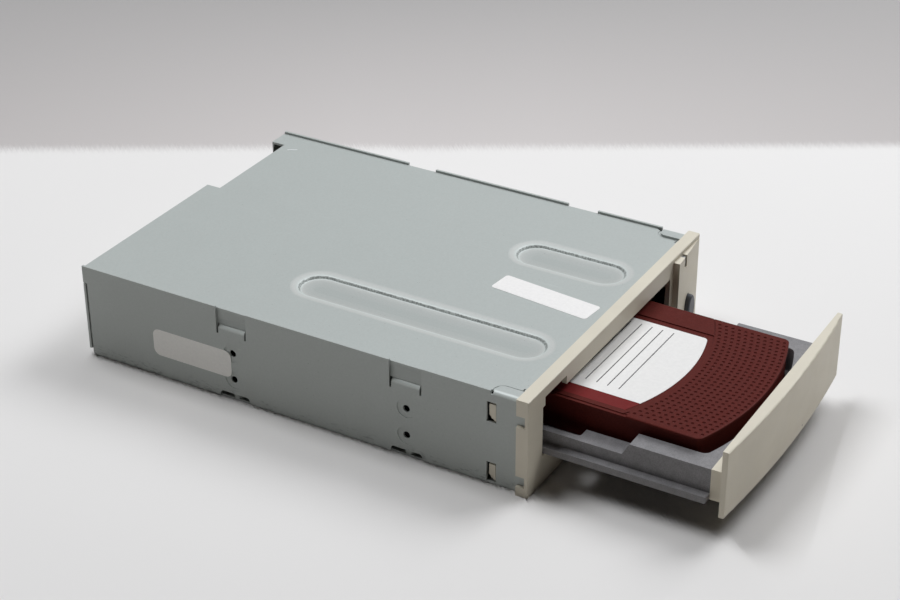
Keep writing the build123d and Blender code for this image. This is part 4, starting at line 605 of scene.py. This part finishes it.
def dimpled_shell():
    """The cartridge's top shell with its grip dimples cut in."""
    shell = welded_copy("cartridge_top_shell", "grip_shell")
    bm = bmesh.new()
    for x, y in dimple_places():
        bowl(bm, in_cart(x, y, shell_high.z))
    carve(shell, bm, DIMPLE_SHARP)
    piece_on(shell, "drawer", finishes["cartridge_plastic"])
    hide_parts("cartridge_top_shell")


# The pressed grooves of the cover
def groove_form(bm, x, start, end):
    """The closed form of one pressed groove: round-ended rings that follow its section."""
    rings = []
    for inset, height in GROOVE_SECTION:
        half = GROOVE_HALF - inset
        ring = []
        for middle, first in ((end - GROOVE_HALF, 0), (start + GROOVE_HALF, 180)):
            for step in range(GROOVE_STEPS + 1):
                angle = radians(first + 180 * step / GROOVE_STEPS)
                across = mm(x + half * cos(angle))
                along = bezel_rear + mm(middle + half * sin(angle))
                ring.append(bm.verts.new((across, along, cover_top + mm(height))))
        rings.append(ring)
    closed_form(bm, rings)


def dished_cover():
    """The cover with its grooves rounded the way a press leaves them."""
    cover = welded_copy("top_cover", "dished_cover")
    bm = bmesh.new()
    for x, start, end in GROOVES:
        groove_form(bm, x, start, end)
    carve(cover, bm, GROOVE_SHARP)
    piece_on(cover, "case", case_steel("cover_steel", COVER_SCUFF, cover_top * 1000))
    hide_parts("top_cover")


def pinhole_shade_plug():
    """A dark plug a little way inside the drawer front's pinhole: painted shade for the hole's dark inside.
    """
    front = frame["nodes"]["tray_front"]
    centre = Vector((tray_middle + mm(PINHOLE_ACROSS), 0, front_low.z + mm(PINHOLE_RISE)))
    start = Vector((centre.x + mm(2 * PINHOLE_RADIUS), front_low.y - mm(RAY_AHEAD), centre.z))
    inverse = front.matrix_world.inverted()
    place = front.ray_cast(inverse @ start, inverse.to_3x3() @ Vector((0, 1, 0)))[1]
    outer = (front.matrix_world @ place).y + mm(PINHOLE_SUNK)
    bm = bmesh.new()
    rings = []
    for y in (outer, outer + mm(PINHOLE_LENGTH)):
        ring = []
        for side in range(PINHOLE_SIDES):
            angle = 2 * pi * side / PINHOLE_SIDES
            x = centre.x + mm(PINHOLE_RADIUS) * cos(angle)
            z = centre.z + mm(PINHOLE_RADIUS) * sin(angle)
            ring.append(bm.verts.new((x, y, z)))
        rings.append(ring)
    closed_form(bm, rings)
    piece_on(add_mesh("pinhole_shade_plug", bm), "drawer", finishes["black_plastic"])


def label_rules():
    """Plain ruled lines across the cartridge's label."""
    bm = bmesh.new()
    left, right = RULE_SPAN
    half = RULE_WIDTH / 2
    for y in RULE_ROWS:
        corners = ((left, y - half), (right, y - half), (right, y + half), (left, y + half))
        flat_patch(bm, [in_cart(*c, label_top) for c in corners], RULE_THICKNESS, Vector(UP))
    rules = add_mesh("label_rules", bm)
    rules.data.materials.append(moulded("ink", (0.012, 0.011, 0.012), 0.6, 0.5, 0.002, 0.2))
    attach(rules, "drawer")


def soft_edged(node, body, radius):
    """A CAD piece with its sharp edges a little rounded, shown in the CAD piece's place."""
    piece = welded_copy(node, f"{node}_soft", FLAT_ANGLE)
    piece.data.shade_smooth()
    rounding = piece.modifiers.new("rounding", "BEVEL")
    rounding.width = mm(radius)
    rounding.segments = SOFT_SEGMENTS
    rounding.limit_method = "ANGLE"
    rounding.angle_limit = radians(SOFT_ANGLE)
    even = piece.modifiers.new("even", "WEIGHTED_NORMAL")
    even.weight = SOFT_WEIGHT
    even.keep_sharp = False
    settle(piece)
    piece_on(piece, body, finishes[slots[node]])
    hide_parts(node)


# Blank stickers on the cover and on the left side of the case
def rounded_outline(centre, along, across, size, radius):
    """The corner points of a rounded rectangle that lies on a flat face."""
    length, width = size
    points = []
    for u, v, start in ((1, 1, 0), (-1, 1, 90), (-1, -1, 180), (1, -1, 270)):
        for step in range(CORNER_STEPS + 1):
            angle = radians(start + 90 * step / CORNER_STEPS)
            a = u * (length / 2 - radius) + radius * cos(angle)
            b = v * (width / 2 - radius) + radius * sin(angle)
            points.append(centre + along * mm(a) + across * mm(b))
    return points


def sticker(name, centre, along, across, size, radius, material):
    """A blank sticker with rounded corners."""
    bm = bmesh.new()
    out = along.cross(across).normalized()
    flat_patch(bm, rounded_outline(centre, along, across, size, radius), STICKER_THICKNESS, out)
    return piece_on(add_mesh(name, bm), "case", material)


def cover_sticker(name, at, size, lean, radius, material):
    """A blank sticker on the cover, its length leaning from straight back."""
    turn = radians(lean)
    centre = Vector((mm(at[0]), bezel_rear + mm(at[1]), cover_top))
    along = Vector((-sin(turn), cos(turn), 0))
    across = Vector((-cos(turn), -sin(turn), 0))
    return sticker(name, centre, along, across, size, radius, material)


def add_stickers():
    """The sticker and the pale scratch on the cover, and the sticker on the side."""
    white = paper("sticker_paper", (0.82, 0.79, 0.755))
    cover_sticker(
        "top_sticker", TOP_STICKER_AT, TOP_STICKER_SIZE, TOP_STICKER_LEAN, TOP_STICKER_CORNER, white
    )
    bare = paper("bare_zinc", (0.72, 0.73, 0.72))
    scratch = cover_sticker("cover_scratch", SCRATCH_AT, SCRATCH_SIZE, SCRATCH_LEAN, SCRATCH_CORNER, bare)
    centre = Vector((pan_left, bezel_rear + mm(SIDE_STICKER_AT[0]), mm(SIDE_STICKER_AT[1])))
    forward = Vector((0, -1, 0))
    grey = paper("side_sticker_paper", (0.85, 0.83, 0.78), 0.4)
    sticker("side_sticker", centre, forward, Vector(UP), SIDE_STICKER_SIZE, SIDE_STICKER_CORNER, grey)


# Floor, light and camera
def floor_material():
    """Pale paper floor that turns to a darker backdrop tone beyond a line behind the object, with painted
    shade that darkens it further back and towards the sides.
    """
    m = Finish("floor", FLOOR_WHITE, 0.9)
    m.shader.inputs["Specular IOR Level"].default_value = 0.1
    turn = radians(CAMERA_AZIMUTH)
    away = m.along((-sin(turn), cos(turn), 0))
    across = m.along((cos(turn), sin(turn), 0))
    step = m.spread(away, FLOOR_EDGE - FLOOR_BLUR, FLOOR_EDGE + FLOOR_BLUR)
    # Painted shade: the backdrop darker further back and towards both sides
    fade = m.spread(away, FLOOR_EDGE, FLOOR_EDGE + FLOOR_FADE)
    left = m.spread(across, BACKDROP_MIDDLE, BACKDROP_MIDDLE - BACKDROP_HALF)
    right = m.spread(across, BACKDROP_MIDDLE, BACKDROP_MIDDLE + BACKDROP_HALF)
    painted_side_shade = m.ramp(m.blend(1.0, left, right, "ADD"), (0.2, 0.0), (1.0, 1.0))
    low = m.blend(painted_side_shade, BACKDROP_LOW, shade(BACKDROP_LOW, BACKDROP_SIDE_SHADE))
    wall = m.blend(fade, low, BACKDROP_GREY)
    m.paint("Base Color", m.blend(step, FLOOR_WHITE, wall))
    m.bump((m.noise(1.0, 3), 0.01))
    return m.material


def make_floor():
    """A wide level floor at the height of the part's origin."""
    bm = bmesh.new()
    half = FLOOR_HALF
    for x, y in ((-half, -half), (half, -half), (half, half), (-half, half)):
        bm.verts.new((x, y, 0))
    bm.faces.new(bm.verts)
    floor = add_mesh("floor", bm)
    floor.data.materials.append(floor_material())


def make_world():
    """A plain backdrop for the camera, mirrors and glass; its light on everything else is the ambient one."""
    world = bpy.data.worlds.new("studio")
    bpy.context.scene.world = world
    world.use_nodes = True
    nodes = world.node_tree.nodes
    links = world.node_tree.links
    nodes.clear()
    ambient = nodes.new("ShaderNodeBackground")
    ambient.inputs["Color"].default_value = (1.0, 1.0, 1.0, 1)
    ambient.inputs["Strength"].default_value = AMBIENT
    backdrop = nodes.new("ShaderNodeBackground")
    backdrop.inputs["Color"].default_value = (*BACKDROP_GREY, 1)
    rays = nodes.new("ShaderNodeLightPath")
    seen = rays.outputs["Is Camera Ray"]
    for other in ("Is Glossy Ray", "Is Transmission Ray"):
        larger = nodes.new("ShaderNodeMath")
        larger.operation = "MAXIMUM"
        links.new(seen, larger.inputs[0])
        links.new(rays.outputs[other], larger.inputs[1])
        seen = larger.outputs["Value"]
    mix = nodes.new("ShaderNodeMixShader")
    links.new(seen, mix.inputs["Fac"])
    links.new(ambient.outputs["Background"], mix.inputs[1])
    links.new(backdrop.outputs["Background"], mix.inputs[2])
    output = nodes.new("ShaderNodeOutputWorld")
    links.new(mix.outputs["Shader"], output.inputs["Surface"])


def soft_lamp(name, place, size, power):
    """A large square lamp that looks at the origin."""
    light = bpy.data.lights.new(name, "AREA")
    light.shape = "SQUARE"
    light.size = mm(size)
    light.energy = power
    light.color = LAMP_TINT
    lamp = bpy.data.objects.new(name, light)
    bpy.context.scene.collection.objects.link(lamp)
    lamp.location = mm(place)
    direction = Vector((0, 0, 0)) - lamp.location
    lamp.rotation_euler = direction.to_track_quat("-Z", "Y").to_euler()


def make_camera():
    """The camera at the photograph's place, with its direction, roll and lens."""
    azimuth, elevation, roll = (radians(a) for a in (CAMERA_AZIMUTH, CAMERA_ELEVATION, CAMERA_ROLL))
    back = Vector((sin(azimuth) * cos(elevation), -cos(azimuth) * cos(elevation), sin(elevation)))
    right = Vector((cos(azimuth), sin(azimuth), 0))
    up = back.cross(right)
    turned_right = right * cos(roll) + up * sin(roll)
    turned_up = up * cos(roll) - right * sin(roll)
    data = bpy.data.cameras.new("camera")
    data.lens = LENS
    data.sensor_width = SENSOR_WIDTH
    data.clip_start = CLIP_START
    data.clip_end = CLIP_END
    camera = bpy.data.objects.new("camera", data)
    bpy.context.scene.collection.objects.link(camera)
    axes = Matrix((turned_right, turned_up, back)).transposed().to_4x4()
    camera.matrix_world = Matrix.Translation(mm(CAMERA_AT)) @ axes
    bpy.context.scene.camera = camera


dimpled_shell()
dished_cover()
pinhole_shade_plug()
label_rules()
for node, body, radius in SOFT_EDGES:
    soft_edged(node, body, radius)
add_stickers()

make_floor()
make_world()
for lamp in LAMPS:
    soft_lamp(*lamp)
make_camera()
bpy.context.scene.view_settings.view_transform = "Standard"
